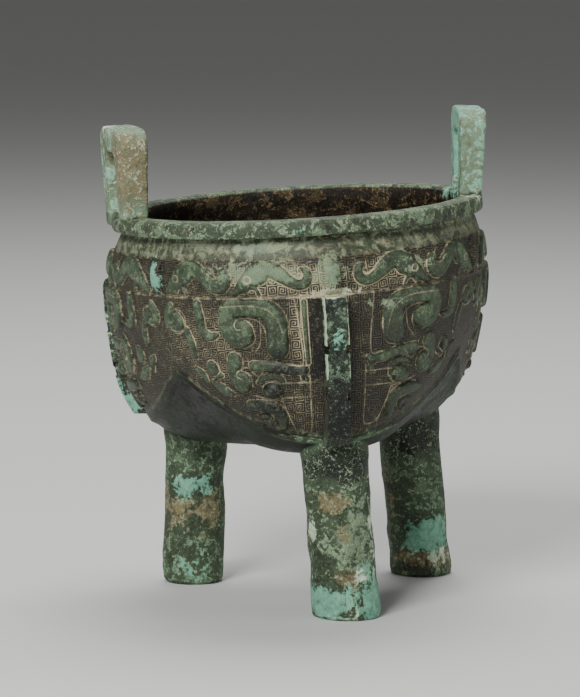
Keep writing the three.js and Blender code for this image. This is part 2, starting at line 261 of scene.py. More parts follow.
@dataclass(frozen=True)
class Wall:
    """The lobed belly: one lobe over each leg, and a mask centred near the middle of each.

    Attributes:
        stations: Height, radius over a leg and radius in the valley between two legs.
        legs: Azimuth of each leg in degrees.
        slips: How far each lobe's mask and flange sit off its middle, in degrees.
        thickness: Of the cast wall.
        bottom: Height of the underside on the axis.
        mean_radius: Radius that turns degrees round the belly into millimetres.
        half_lobe: Degrees from a leg to the valley beside it.
    """

    stations: tuple[tuple[float, float, float], ...] = (
        (65, 0, 0), (67, 42, 22), (71, 61.5, 38), (77, 70, 48.6), (84, 74.8, 55.8), (93, 78.7, 64),
        (104, 81.6, 69.4), (117, 83.4, 74.2), (130, 83.9, 77.1), (140, 83.7, 78.2),
        (150, 82.1, 78.2), (157, 78.7, 77.2), (162.8, 75.3, 75.3),
    )
    legs: tuple[float, float, float] = (-90.0, 30.0, 150.0)
    slips: tuple[float, float, float] = (-1.3, 0.0, 0.0)
    thickness: float = 4.2
    bottom: float = 65.0
    mean_radius: float = 82.0
    half_lobe: float = 60.0

    @property
    def half_width(self) -> float:
        """Millimetres round the belly from a mask's middle to the valley."""
        return self.half_lobe * math.radians(self.mean_radius)

    def root_height(self, z: Array) -> Array:
        """The root of the height over the lowest point, in which the profile is smooth."""
        return np.sqrt(np.maximum(z - self.bottom, 0.0))

    def lobing(self, azimuth: Array) -> Array:
        """1 over a leg and 0 in the valley between two legs."""
        return (1 + np.cos(np.radians(3 * (azimuth - self.legs[0])))) / 2

    def radius(self, azimuth: Array, z: Array) -> Array:
        """Radius of the outer surface at azimuths in degrees and heights."""
        table = np.array(self.stations, float)
        roots = self.root_height(table[:, 0])
        root = self.root_height(np.asarray(z, float))
        row = np.clip(np.searchsorted(roots, root) - 1, 0, len(roots) - 2)
        span = roots[row + 1] - roots[row]
        t = (root - roots[row]) / span
        rows = np.arange(len(roots))
        low, high = np.maximum(rows - 1, 0), np.minimum(rows + 1, len(roots) - 1)
        slopes = (table[high, 1:] - table[low, 1:]) / (roots[high] - roots[low])[:, None]
        t, span = t[..., None], span[..., None]
        ends = (table[row, 1:], table[row + 1, 1:])
        pair = hermite(t, ends, (slopes[row], slopes[row + 1]), span)
        share = self.lobing(np.asarray(azimuth, float))
        return pair[..., 0] * share + pair[..., 1] * (1 - share)

    def surface(self, azimuth: Array, z: Array) -> Array:
        """Rows of points on the outer surface."""
        azimuth, z = np.broadcast_arrays(np.asarray(azimuth, float), np.asarray(z, float))
        radius = self.radius(azimuth, z)
        angle = np.radians(azimuth)
        return np.stack([radius * np.cos(angle), radius * np.sin(angle), z], -1)

    def raised(self, azimuth: Array, z: Array, lift: Array) -> Array:
        """Rows of points lifted off the outer surface along its own normal."""
        here = self.surface(azimuth, z)
        round_step = self.surface(np.asarray(azimuth) + 0.5, z) - here
        up_step = self.surface(azimuth, np.asarray(z) + 0.4) - here
        normal = np.cross(round_step, up_step)
        normal /= np.linalg.norm(normal, axis=-1, keepdims=True)
        return here + normal * np.asarray(lift)[..., None]

    def share_of_height(self, top: Array, share: float) -> Array:
        """Height at a share of the way up from the lowest point, even in its root."""
        return self.bottom + (self.root_height(np.asarray(top, float)) * share) ** 2

    def layout(self, azimuth: Array) -> tuple[Array, Array, Array]:
        """Where azimuths lie on their mask.

        Args:
            azimuth: Azimuths in degrees.

        Returns:
            The leg's number, the side of the mask (-1 or 1) and the millimetres from its middle.
        """
        turned = np.asarray(azimuth, float) - self.legs[0] + self.half_lobe
        span = 2 * self.half_lobe
        lobe = np.floor(turned / span).astype(int) % len(self.legs)
        offset = np.mod(turned, span) - self.half_lobe - np.array(self.slips)[lobe]
        side = np.where(offset < 0, -1, 1)
        reach = self.half_lobe - side * np.array(self.slips)[lobe]
        return lobe, side, np.abs(offset) / reach * self.half_width

    def azimuth_at(self, lobe: int, side: int, u: Array) -> Array:
        """Azimuths at millimetres from the middle of a mask, on one side of it."""
        reach = self.half_lobe - side * self.slips[lobe]
        return self.legs[lobe] + self.slips[lobe] + side * np.asarray(u) / self.half_width * reach


# ---- Ornament -----------------------------------------------------------------------------
def curve_through(points: tuple[tuple[float, float], ...], steps: int) -> Array:
    """Rows of points along a smooth curve through given ones."""
    knots = np.array(points, float)
    if len(knots) == 2:
        return np.linspace(knots[0], knots[1], steps + 1)
    padded = np.vstack([knots[0], knots, knots[-1]])
    place = np.linspace(0, len(knots) - 1, steps + 1)
    row = np.minimum(place.astype(int), len(knots) - 2)
    t = (place - row)[:, None]
    a, b, c, d = (padded[row + k] for k in range(4))
    return hermite(t, (b, c), ((c - a) / 2, (d - b) / 2))


@dataclass(frozen=True)
class Track:
    """A curve on half a mask: u runs from the mask's middle, and v is height, in millimetres."""

    points: tuple[tuple[float, float], ...]
    widths: tuple[float, ...] = (0.0,)
    steps: int = 44
    reach: float = MEASURED

    def measure(self, u: Array, v: Array) -> tuple[Array, Array]:
        """Measures points against the curve.

        Args:
            u: Places round the belly.
            v: Heights.

        Returns:
            Signed distances to the track's edge, negative inside it, or to the curve itself and
            positive on its left where it has no width; and places along the curve.
        """
        path = curve_through(self.points, self.steps)
        start, step = path[:-1], np.diff(path, axis=0)
        lengths = np.maximum(np.linalg.norm(step, axis=1), 1e-9)
        run = np.concatenate([[0], np.cumsum(lengths)])
        half = np.interp(run / run[-1], np.linspace(0, 1, len(self.widths)), self.widths) / 2
        margin = half.max() + self.reach
        low, high = path.min(0) - margin, path.max(0) + margin
        near = (u > low[0]) & (u < high[0]) & (v > low[1]) & (v < high[1])
        distance = np.full(u.shape, self.reach)
        along = np.zeros(u.shape)
        gap = np.stack([u[near], v[near]], 1)[:, None, :] - start
        t = np.clip((gap * step).sum(-1) / lengths**2, 0, 1)
        apart = gap - t[..., None] * step
        length = np.linalg.norm(apart, axis=-1)
        edge = length - (half[:-1] + t * np.diff(half))
        nearest = edge.argmin(1)
        rows = np.arange(len(nearest))
        found = edge[rows, nearest]
        if half.max() == 0:
            ahead, aside = step[nearest], apart[rows, nearest]
            left = ahead[:, 0] * aside[:, 1] - ahead[:, 1] * aside[:, 0]
            found = found * np.where(left < 0, -1, 1)
        distance[near] = np.clip(found, -self.reach, self.reach)
        along[near] = run[nearest] + t[rows, nearest] * lengths[nearest]
        return distance, along


@dataclass(frozen=True)
class Band:
    """A raised band of the mask or of the dragons.

    Attributes:
        track: Its middle line and widths.
        lift: How far it stands out.
        swell: How much more it stands out at the end of its track.
        shoulder: How far in from its edge it reaches its full height.
        hatched: Whether fine lines cross it.
        side: -1 or 1 where only that half of each mask has it, and 0 on both.
    """

    track: Track
    lift: float
    swell: float = 0.0
    shoulder: float = 1.5
    hatched: bool = False
    side: int = 0


class Cut(Enum):
    """Which set a cut line belongs to: lines of a set stay well apart from each other."""

    SCROLL = "cut_scroll"
    BORDER = "cut_border"
    FACE = "cut_face"


def dragon(start: float, tail: float) -> list[Band]:
    """One dragon of the upper band, which looks away from the flange.

    Args:
        start: Where its tail's curl begins, round the belly.
        tail: Width of the tail's curl.

    Returns:
        Its body, its head and its lower jaw.
    """
    body = (
        (start + 4.6, 150.0), (start + 2.4, 149.4), (start + 1.9, 146.6), (start + 3.6, 144.3),
        (start + 7.4, 144.3), (start + 12.4, 147.6), (start + 17.4, 150.7), (start + 22.4, 150.6),
        (start + 26.6, 147.6), (start + 30.6, 143.8), (start + 34.0, 141.0),
    )
    jaw = ((start + 22.6, 140.2), (start + 24.2, 142.9), (start + 27.0, 143.2), (start + 28.6, 141.2))
    head = ((start + 22.6, 148.6), (start + 26.4, 147.0))
    widths = (2.2, tail, tail, 6.2, 6.8, 7.6, 6.0, 2.6)
    return [
        Band(Track(body, widths), 1.7, hatched=True),
        Band(Track(head, (8.4, 7.4)), 1.9),
        Band(Track(jaw, (1.5, 1.5)), 0.9, shoulder=0.7),
    ]


@dataclass(frozen=True)
class Mask:
    """The ornament of half a lobe: the mask, its side creature and the dragons over it.

    Attributes:
        hem_leg: Height of the ornament's lower border over a leg.
        hem_valley: Height of that border in the valley.
        hem_half: Half of the border's width.
        hem_lift: How far the border stands out.
        hem_turn: Share of half a lobe in which the border turns at its peak.
        cord: Height over the border, half width and share of its lift of the finer ridge there.
        ledge: Height of the ledge between the mask and the dragons.
        band_top: Height where the dragons' ground ends.
        eye: Place of the eye's middle.
        eye_half: Half of the eye's width and height.
        eye_lift: How far the eye stands out.
        scroll_depth: Depth of the scrolls cut into the raised bands.
        scroll_half: Half of their width.
        right_slip: How far out and up the right half of the mask sits.
        rings: Height and depth of the grooves round the neck.
        ring_half: Half of their width.
    """

    hem_leg: float = 76.5
    hem_valley: float = 104.0
    hem_half: float = 1.6
    hem_lift: float = 1.1
    hem_turn: float = 0.07
    cord: tuple[float, float, float] = (1.4, 0.8, 0.55)
    ledge: float = 138.3
    ledge_half: float = 1.0
    ledge_lift: float = 0.45
    band_top: float = 154.6
    eye: tuple[float, float] = (28.0, 99.8)
    eye_half: tuple[float, float] = (4.8, 3.5)
    eye_lift: float = 2.9
    scroll_depth: float = 0.55
    scroll_half: float = 0.7
    right_slip: tuple[float, float] = (1.1, 3.0)
    rings: tuple[tuple[float, float], ...] = ((154.8, 0.2), (156.5, 0.3))
    ring_half: float = 0.45

    def bands(self) -> list[Band]:
        """Every raised band of half a mask, from the dragons down."""
        horn = Track(
            (
                (24.0, 118.2), (23.9, 124.0), (24.2, 130.0), (27.2, 133.9), (33.0, 134.9),
                (40.0, 135.0), (45.4, 134.2), (46.4, 128.6), (44.6, 123.8), (40.6, 121.6),
                (37.4, 122.8),
            ),
            (9.4, 9.2, 9.0, 8.2, 7.4, 7.2, 7.4, 8.0, 8.0, 7.4, 7.0),
            steps=90,
        )
        volute = Track(((41.6, 124.9), (40.0, 124.4)), (11.6, 11.6))
        brow = Track(((13.0, 108.4), (19.0, 108.5), (27.0, 110.0), (36.2, 110.4)), (3.4, 4.0, 4.6, 4.4))
        lid = Track(
            ((22.8, 100.6), (23.4, 104.4), (27.0, 106.0), (31.4, 105.2), (35.0, 103.2)),
            (1.6, 2.6, 2.9, 2.6, 1.4),
        )
        ear = Track(((45.0, 112.4), (46.6, 108.2), (44.6, 104.6), (42.4, 103.2)), (7.6, 5.6, 7.0, 9.4))
        jaw = Track(
            ((41.0, 93.4), (34.0, 92.9), (27.4, 91.6), (24.6, 87.4), (25.0, 82.8)),
            (3.6, 5.2, 5.4, 5.6, 3.4),
        )
        claw = Track(((37.4, 88.4), (33.2, 88.5), (30.6, 86.6), (32.0, 84.4), (35.4, 84.9)), (1.4, 2.6, 1.8))
        nostril = Track(
            ((13.9, 104.6), (14.6, 105.4), (13.4, 106.2), (12.0, 105.0), (12.6, 103.0), (15.0, 102.6)),
            (1.0, 1.2),
        )
        creature = Track(
            ((61.4, 136.4), (61.0, 130.0), (60.2, 124.6), (56.4, 122.6), (52.4, 123.4)),
            (4.0, 4.8, 4.6, 4.4, 2.2),
        )
        curl = Track(
            ((75.6, 130.6), (74.0, 128.4), (75.4, 126.2), (79.0, 126.0), (81.0, 130.0), (78.4, 134.4)),
            (5.0, 5.6, 4.6, 4.6, 4.0),
        )
        stem = Track(((70.2, 124.6), (68.4, 119.0), (67.6, 113.4)), (3.4, 4.0, 2.4))
        comma = Track(((58.6, 108.9), (56.6, 106.4), (53.4, 105.8)), (6.6, 4.4, 1.4))
        leaf = Track(((60.8, 102.6), (55.0, 99.4), (49.4, 97.6)), (1.8, 5.0, 1.8))
        strip = Track(((12.1, 137.0), (11.9, 124.0), (11.4, 111.4)), (2.2, 1.6))
        barb = Track(((70.0, 108.2), (66.0, 105.4), (64.6, 101.8)), (2.0, 3.8, 1.4))
        return [
            *dragon(8.0, 4.2),
            *dragon(44.4, 6.4),
            Band(horn, 2.0, swell=0.2, hatched=True),
            Band(volute, 2.5, shoulder=5.0),
            Band(brow, 1.3),
            Band(lid, 1.0, shoulder=0.8, hatched=True),
            Band(ear, 1.5, swell=0.5),
            Band(jaw, 1.7),
            Band(claw, 1.1, shoulder=0.8),
            Band(nostril, 0.9, shoulder=0.5),
            Band(creature, 1.5),
            Band(curl, 1.4),
            Band(stem, 1.1),
            Band(comma, 1.2),
            Band(leaf, 1.2),
            Band(barb, 1.0),
            Band(strip, 0.6, shoulder=0.7, side=-1),
        ]

    def cuts(self) -> dict[Cut, list[Track]]:
        """The fine cut lines of half a mask, by set."""
        scroll = [
            Track(
                (
                    (28.6, 121.0), (29.3, 126.2), (31.8, 129.3), (35.4, 130.6), (40.0, 130.6),
                    (42.0, 129.6), (42.4, 127.6), (41.2, 126.0), (39.8, 126.2),
                )
            ),
            Track(((39.6, 109.7), (42.0, 109.2), (44.2, 107.8), (44.6, 105.7), (42.8, 104.9))),
            Track(((50.6, 152.4), (48.9, 149.2), (49.6, 147.4), (52.0, 147.2), (54.6, 148.8))),
            Track(((13.8, 151.2), (12.2, 148.6), (13.2, 146.9), (15.4, 147.2), (17.6, 148.8))),
            Track(((76.6, 133.4), (74.4, 133.8), (70.8, 131.4), (70.6, 127.2), (74.0, 124.2), (79.4, 124.6))),
            Track(((55.0, 111.2), (54.6, 107.8), (56.8, 105.6), (59.8, 105.0))),
        ]
        border = [
            Track(((48.4, 135.5), (40.0, 136.1), (32.0, 135.8), (26.8, 133.9), (23.2, 130.2), (21.4, 124.6))),
            Track(((15.9, 137.6), (14.5, 126.0), (13.7, 111.2), (18.4, 111.0))),
            Track(((30.9, 128.6), (31.1, 124.0), (31.9, 119.6), (34.4, 116.4))),
            Track(((11.3, 103.2), (23.0, 103.0))),
            Track(((11.3, 96.9), (23.2, 96.6))),
            Track(((33.5, 145.9), (34.4, 147.9), (36.2, 148.1), (36.9, 146.6), (35.8, 145.4), (34.0, 145.6))),
            Track(((69.9, 145.9), (70.8, 147.9), (72.6, 148.1), (73.3, 146.6), (72.2, 145.4), (70.4, 145.6))),
        ]
        face = [
            Track(((11.2, 106.0), (11.3, 94.0), (12.0, 80.6), (18.4, 80.4))),
            Track(((24.4, 96.4), (21.6, 88.0), (18.8, 80.6))),
            Track(((23.8, 95.4), (29.0, 95.9), (37.6, 97.4))),
            Track(((31.4, 108.2), (34.2, 105.9), (37.0, 108.0), (38.4, 112.4))),
        ]
        return {Cut.SCROLL: scroll, Cut.BORDER: border, Cut.FACE: face}

    def hem(self, wall: Wall, azimuth: Array) -> Array:
        """Height of the ornament's lower border at azimuths in degrees."""
        from_valley = 1 - np.arccos(np.clip(2 * wall.lobing(azimuth) - 1, -1, 1)) / math.pi
        turn = self.hem_turn
        from_leg = 1 - (np.hypot(from_valley, turn) - turn) / (math.hypot(1, turn) - turn)
        climb = 0.35 * from_leg + 0.65 * from_leg**3
        return self.hem_leg + (self.hem_valley - self.hem_leg) * climb

    def drawn_at(self, side: Array, u: Array, v: Array) -> tuple[Array, Array]:
        """Where points fall on the drawing: the right half of each mask slipped in the mould."""
        slip = np.where(side > 0, 1.0, 0.0)
        up = self.right_slip[1] * slip * smooth_step(v, 137.0, 117.0)
        return u - self.right_slip[0] * slip, v - up

    def relief(self, wall: Wall, azimuth: Array, z: Array) -> dict[str, Array]:
        """Measures the ornament at points of the wall.

        Args:
            wall: The wall that carries it.
            azimuth: Azimuths in degrees.
            z: Heights in the upright casting.

        Returns:
            Arrays by name: lift, the height over the wall; edge, the distance to the nearest raised
            form and negative on it; hatch, the place along a hatched band; hatched, 1 on such a
            band; and one signed distance for each set of cut lines.
        """
        _, side, u = wall.layout(azimuth)
        x, y = self.drawn_at(side, u, z)
        lift, hatch, hatched = (np.zeros(x.shape) for _ in range(3))
        edge = np.full(x.shape, MEASURED)
        for band in self.bands():
            distance, along = band.track.measure(x, y)
            if band.side:
                distance = np.where(side == band.side, distance, MEASURED)
            inside = np.clip(-distance / band.shoulder, 0, 1)
            length = np.maximum(along.max(), 1e-6)
            rise = (band.lift + band.swell * along / length) * np.sqrt(1 - (1 - inside) ** 2)
            if band.hatched:
                hatch = np.where((distance < 0) & (rise >= lift), along, hatch)
            hatched = np.where((distance < 0) & (rise >= lift), float(band.hatched), hatched)
            lift = np.maximum(lift, rise)
            edge = np.minimum(edge, distance)
        eye_u, eye_v = (x - self.eye[0]) / self.eye_half[0], (y - self.eye[1]) / self.eye_half[1]
        eye_far = np.hypot(eye_u, eye_v)
        edge = np.minimum(edge, (eye_far - 1) * self.eye_half[1])
        lift = np.maximum(lift, self.eye_lift * np.sqrt(np.clip(1 - eye_far**2, 0, 1)))
        fields = {"edge": edge, "hatch": hatch, "hatched": hatched}
        for kind, tracks in self.cuts().items():
            nearest = np.full(x.shape, MEASURED)
            for track in tracks:
                distance, _ = track.measure(x, y)
                nearest = np.where(np.abs(distance) < np.abs(nearest), distance, nearest)
            fields[kind.value] = nearest
        lift = lift - self.scroll_depth * ridge(fields[Cut.SCROLL.value], self.scroll_half) * (edge < 0)
        hem = self.hem(wall, azimuth)
        ground = smooth_step(z, hem + 2.0, hem + 3.2)
        ground = ground * smooth_step(z, self.band_top + 0.6, self.band_top)
        lift = lift * ground
        above, half, share = self.cord
        lift = lift + share * self.hem_lift * ridge(z - hem - above, half)
        lift = lift + self.hem_lift * ridge(z - hem + 1.2, self.hem_half)
        lift = lift + self.ledge_lift * np.clip(1 - np.abs((z - self.ledge) / self.ledge_half), 0, 1)
        for height, depth in self.rings:
            lift = lift - depth * ridge(z - height, self.ring_half)
        fields["lift"] = lift
        fields["ground"] = ground
        return fields


# ---- The bowl -----------------------------------------------------------------------------
def lofted(name: str, rings: list[Array]) -> bpy.types.Object:
    """A closed shell through rings that each run round the axis from azimuth 0.

    Neighbouring rings may have different counts. The first and last rings are closed by fans.

    Args:
        name: Name of the new object.
        rings: Rows of points in metres, from the lowest ring of the outside to the last.

    Returns:
        The new mesh object.
    """
    starts = np.concatenate([[0], np.cumsum([len(ring) for ring in rings])]).astype(int)
    faces: list[tuple[int, ...]] = []
    for low, (first, second) in enumerate(zip(rings, rings[1:])):
        a, b = starts[low], starts[low + 1]
        n, m = len(first), len(second)
        if n == m:
            faces += [(a + i, a + (i + 1) % n, b + (i + 1) % n, b + i) for i in range(n)]
            continue
        i = j = 0
        while i < n or j < m:
            if j >= m or (i < n and (i + 1) / n <= (j + 1) / m):
                faces.append((a + i % n, a + (i + 1) % n, b + j % m))
                i += 1
            else:
                faces.append((a + i % n, b + (j + 1) % m, b + j % m))
                j += 1
    points = np.vstack(rings)
    for ring, turn in ((0, -1), (len(rings) - 1, 1)):
        count, start = len(rings[ring]), starts[ring]
        middle = len(points)
        points = np.vstack([points, rings[ring].mean(0)])
        for i in range(count):
            pair = (start + i, start + (i + 1) % count)
            faces.append((pair[0], pair[1], middle) if turn > 0 else (pair[1], pair[0], middle))
    mesh = bpy.data.meshes.new(name)
    mesh.from_pydata(points.tolist(), [], faces)
    mesh.validate()
    piece = bpy.data.objects.new(name, mesh)
    bpy.context.scene.collection.objects.link(piece)
    return piece


@dataclass
class Bowl:
    """The belly with its relief, the neck, the rim and the hollow.

    Attributes:
        stance: Where the casting stands.
        wall: The lobed wall.
        rim: The rim.
        mask: The ornament.
        columns: Columns of faces in half a lobe where the relief is.
        mask_rows: Rows of faces from the ornament's lower border to the ledge.
        dragon_rows: Rows of faces from the ledge to the neck.
        hollow_columns: Columns of faces round the hollow.
        waves: Unevenness of the outside.
        crust: Unevenness of the hollow.
    """

    stance: Stance
    wall: Wall
    rim: Rim
    mask: Mask
    columns: int = 104
    mask_rows: int = 68
    dragon_rows: int = 23
    hollow_columns: int = 180
    waves: Unevenness = Unevenness(height=0.22, length=26, seed=4)
    crust: Unevenness = Unevenness(height=0.5, length=11, seed=7, waves=30)

    def full_ring(self) -> Array:
        """Azimuths of the columns of the relief, evenly spaced on each half mask."""
        azimuths = []
        for lobe in range(3):
            for side in (-1, 1):
                steps = np.arange(self.columns) if side > 0 else np.arange(self.columns, 0, -1)
                u = steps / self.columns * self.wall.half_width
                azimuths.append(self.wall.azimuth_at(lobe, side, u))
        return np.concatenate(azimuths) % 360

    def outside_rings(self) -> list[Array]:
        """Rings of the outer surface in the upright casting, from the lowest to the rim's top."""
        fine = np.sort(self.full_ring())
        hem = self.mask.hem(self.wall, fine)
        rings = []
        counts = [36, 72, 72, 144, 144, 144] + 9 * [PLAIN_COLUMNS]
        for share, count in zip(np.linspace(0.07, 1, len(counts)), counts):
            azimuth = np.arange(count) * 360 / count
            top = self.mask.hem(self.wall, azimuth) - 4.0
            z = self.wall.share_of_height(top, share)
            rings.append(self.wall.raised(azimuth, z, np.zeros(count)))
        heights = [hem + offset for offset in (-3.2, -2.4, -1.6, -0.8, 0.0, 0.7, 1.4, 2.1)]
        low, high = hem + 2.1, self.mask.ledge - self.mask.ledge_half
        heights += [low + (high - low) * i / self.mask_rows for i in range(1, self.mask_rows + 1)]
        above = self.mask.ledge + self.mask.ledge_half
        heights += [np.full(fine.shape, self.mask.ledge + step) for step in (-0.35, 0.0, 0.35)]
        heights += [np.full(fine.shape, z) for z in np.linspace(above, 157.0, self.dragon_rows)]
        for z in heights:
            lift = self.mask.relief(self.wall, fine, z)["lift"]
            rings.append(self.wall.raised(fine, z, lift))
        plain = np.arange(PLAIN_COLUMNS) * 360 / PLAIN_COLUMNS
        for z in (158.6, 160.2, 161.6):
            rings.append(self.wall.raised(plain, np.full(plain.shape, z), np.zeros(plain.shape)))
        rings += [self.level(radius, z, PLAIN_COLUMNS) for radius, z in self.rim_profile()]
        return rings

    def rim_profile(self) -> list[tuple[float, float]]:
        """Radius and height of the rim's corners, from the neck round to the top's inner edge."""
        rim, r = self.rim, self.rim.round
        return [
            (rim.neck, rim.under - 0.1),
            (rim.neck + 1.6, rim.under + 0.35),
            (rim.outer - 1.1, rim.under + 0.35),
            (rim.outer - 0.35, rim.under + 0.6),
            (rim.outer, rim.under + 1.4),
            (rim.outer + 0.1, rim.under + 3.2),
            (rim.outer, rim.top - r - 1.0),
            (rim.outer - 0.15, rim.top - r),
            (rim.outer - r * 0.5, rim.top - r * 0.35),
            (rim.outer - r * 1.4, rim.top),
            ((rim.outer + rim.inner) / 2, rim.top + 0.05),
            (rim.inner - 1.5, rim.top),
        ]

    def level(self, radius: float, z: float, count: int) -> Array:
        """A level ring of points."""
        angle = np.arange(count) * 2 * math.pi / count
        return np.stack([radius * np.cos(angle), radius * np.sin(angle), np.full(count, z)], 1)

    def hollow_rings(self) -> list[Array]:
        """Rings of the hollow in the upright casting, from its floor to above the rim."""
        azimuth = np.arange(self.hollow_columns) * 360 / self.hollow_columns
        rings = []
        for share in np.linspace(0.08, 0.975, 34):
            z = self.wall.share_of_height(self.rim.under, share)
            level, depth = (np.full(azimuth.shape, value) for value in (z, -self.wall.thickness))
            rings.append(self.wall.raised(azimuth, level, depth))
        inner, top, r = self.rim.inner, self.rim.top, self.rim.round
        for radius, z in (
            (inner + 0.3, self.rim.under + 0.6),
            (inner, self.rim.under + 3.4),
            (inner, top - r),
            (inner + r * 0.3, top - r * 0.4),
            (inner + r, top - 0.05),
            (inner + r + 0.4, top + 1.0),
        ):
            rings.append(self.level(radius, z, self.hollow_columns))
        return rings

    def shell(self, name: str, rings: list[Array], unevenness: Unevenness) -> bpy.types.Object:
        """A closed shell through rings of the upright casting, made a little uneven."""
        placed = []
        for ring in rings:
            flat = np.hypot(ring[:, 0], ring[:, 1])[:, None]
            outward = np.where(flat > 1e-6, ring * [1, 1, 0] / np.maximum(flat, 1e-6), 0)
            calm = 1.0 if ring[:, 2].max() < self.rim.top - 0.5 else 0.35
            placed.append(ring + outward * (unevenness.at(ring) * calm)[:, None])
        return lofted(name, [self.stance.to_model(ring) for ring in placed])

    def build(self) -> tuple[bpy.types.Object, bpy.types.Object]:
        """Builds the solid outside and the hollow that is to be cut out of it."""
        outside = self.shell("vessel", self.outside_rings(), self.waves)
        hollow = self.shell("hollow", self.hollow_rings(), self.crust)
        counts = [len(piece.data.polygons) for piece in (outside, hollow)]
        LOG.info("bowl: %d faces outside, %d in the hollow", *counts)
        return outside, hollow


# ---- Legs, handles and flanges ------------------------------------------------------------
@dataclass(frozen=True)
class Leg:
    """A solid leg from the leaned belly to the level floor, in millimetres.

    Attributes:
        azimuth: Where it stands, in degrees.
        radius: Of its middle.
        swell: How much thicker the foot is.
        top_circle: How far its axis is from the casting's where it meets the belly.
        seed: Which unevenness it has.
        foot_circle: How far the foot's middle is from the casting's axis.
        belly_join: Height at which its axis meets the belly.
        embed_to: Height of its upper end, inside the belly.
        foot_shift: How far the feet stand towards +X of the axis.
        foot_round: Radius of the foot's edge.
    """

    azimuth: float
    radius: float
    swell: float
    top_circle: float
    seed: int
    foot_circle: float = 59.6
    belly_join: float = 66.0
    embed_to: float = 79.0
    foot_shift: float = 0.9
    foot_round: float = 1.5
    sides: int = 56
    rings: int = 34

    def ends(self, stance: Stance) -> tuple[Vector, Vector]:
        """The middle of the foot and of the leg's top, in metres of the model's frame."""
        angle = math.radians(self.azimuth)
        heading = np.array([math.cos(angle), math.sin(angle)])
        foot = np.array([*(heading * self.foot_circle), 0.0]) + [self.foot_shift, 0, 0]
        foot = (foot + [*stance.axis, 0.0]) * MM
        joint = stance.to_model(np.array([[*(heading * self.top_circle), self.belly_join]]))[0]
        along = (joint - foot) / (joint - foot)[2]
        return Vector(foot), Vector(foot + along * self.embed_to * MM)

    def build(self, stance: Stance) -> bpy.types.Object:
        """Builds the leg as a tapered, slightly lumpy rod with a flat foot."""
        foot, top = self.ends(stance)
        axis = top - foot
        overrun = 3 * MM
        low = foot - axis.normalized() * overrun
        bpy.ops.object.select_all(action="DESELECT")
        bpy.ops.mesh.primitive_cylinder_add(
            vertices=self.sides,
            radius=self.radius * MM,
            depth=(top - low).length,
            location=(top + low) / 2,
            rotation=axis.to_track_quat("Z", "Y").to_euler(),
            end_fill_type="TRIFAN",
        )
        leg = bpy.context.object
        leg.name = "leg"
        bpy.ops.object.transform_apply(location=True, rotation=True, scale=True)
        slice_active([low.lerp(top, ring / self.rings) for ring in range(1, self.rings)], axis)
        self.shape(leg, foot, axis)
        return leg

    def shape(self, leg: bpy.types.Object, foot: Vector, axis: Vector) -> None:
        """Swells the foot, rounds its edge, makes the sides uneven and levels the sole."""
        places = vertex_places(leg)
        foot_mm, heading = np.array(foot) / MM, np.array(axis / axis.z)
        points = places / MM
        height = points[:, 2]
        middle = foot_mm + height[:, None] * heading
        spoke = (points - middle) * [1, 1, 0]
        reach = np.hypot(spoke[:, 0], spoke[:, 1])
        grow = self.swell * smooth_step(height, 30.0, 4.0) + smooth_step(height, 60.0, 72.0)
        over_edge = 1 - np.clip(height / self.foot_round, 0, 1)
        tuck = self.foot_round * (1 - np.sqrt(1 - over_edge**2))
        lumps = Unevenness(0.55, 17, self.seed, 24).at(points)
        lumps = lumps + Unevenness(0.16, 5, self.seed + 50, 40).at(points)
        scale = np.where(reach > 0.5 * self.radius, 1 + (grow - tuck + lumps) / self.radius, 1.0)
        points = middle + spoke * scale[:, None] + (points - middle) * [0, 0, 1]
        points[:, 2] = np.maximum(points[:, 2], 0.0)
        set_vertex_places(leg, points * MM)
        leg.data.validate()


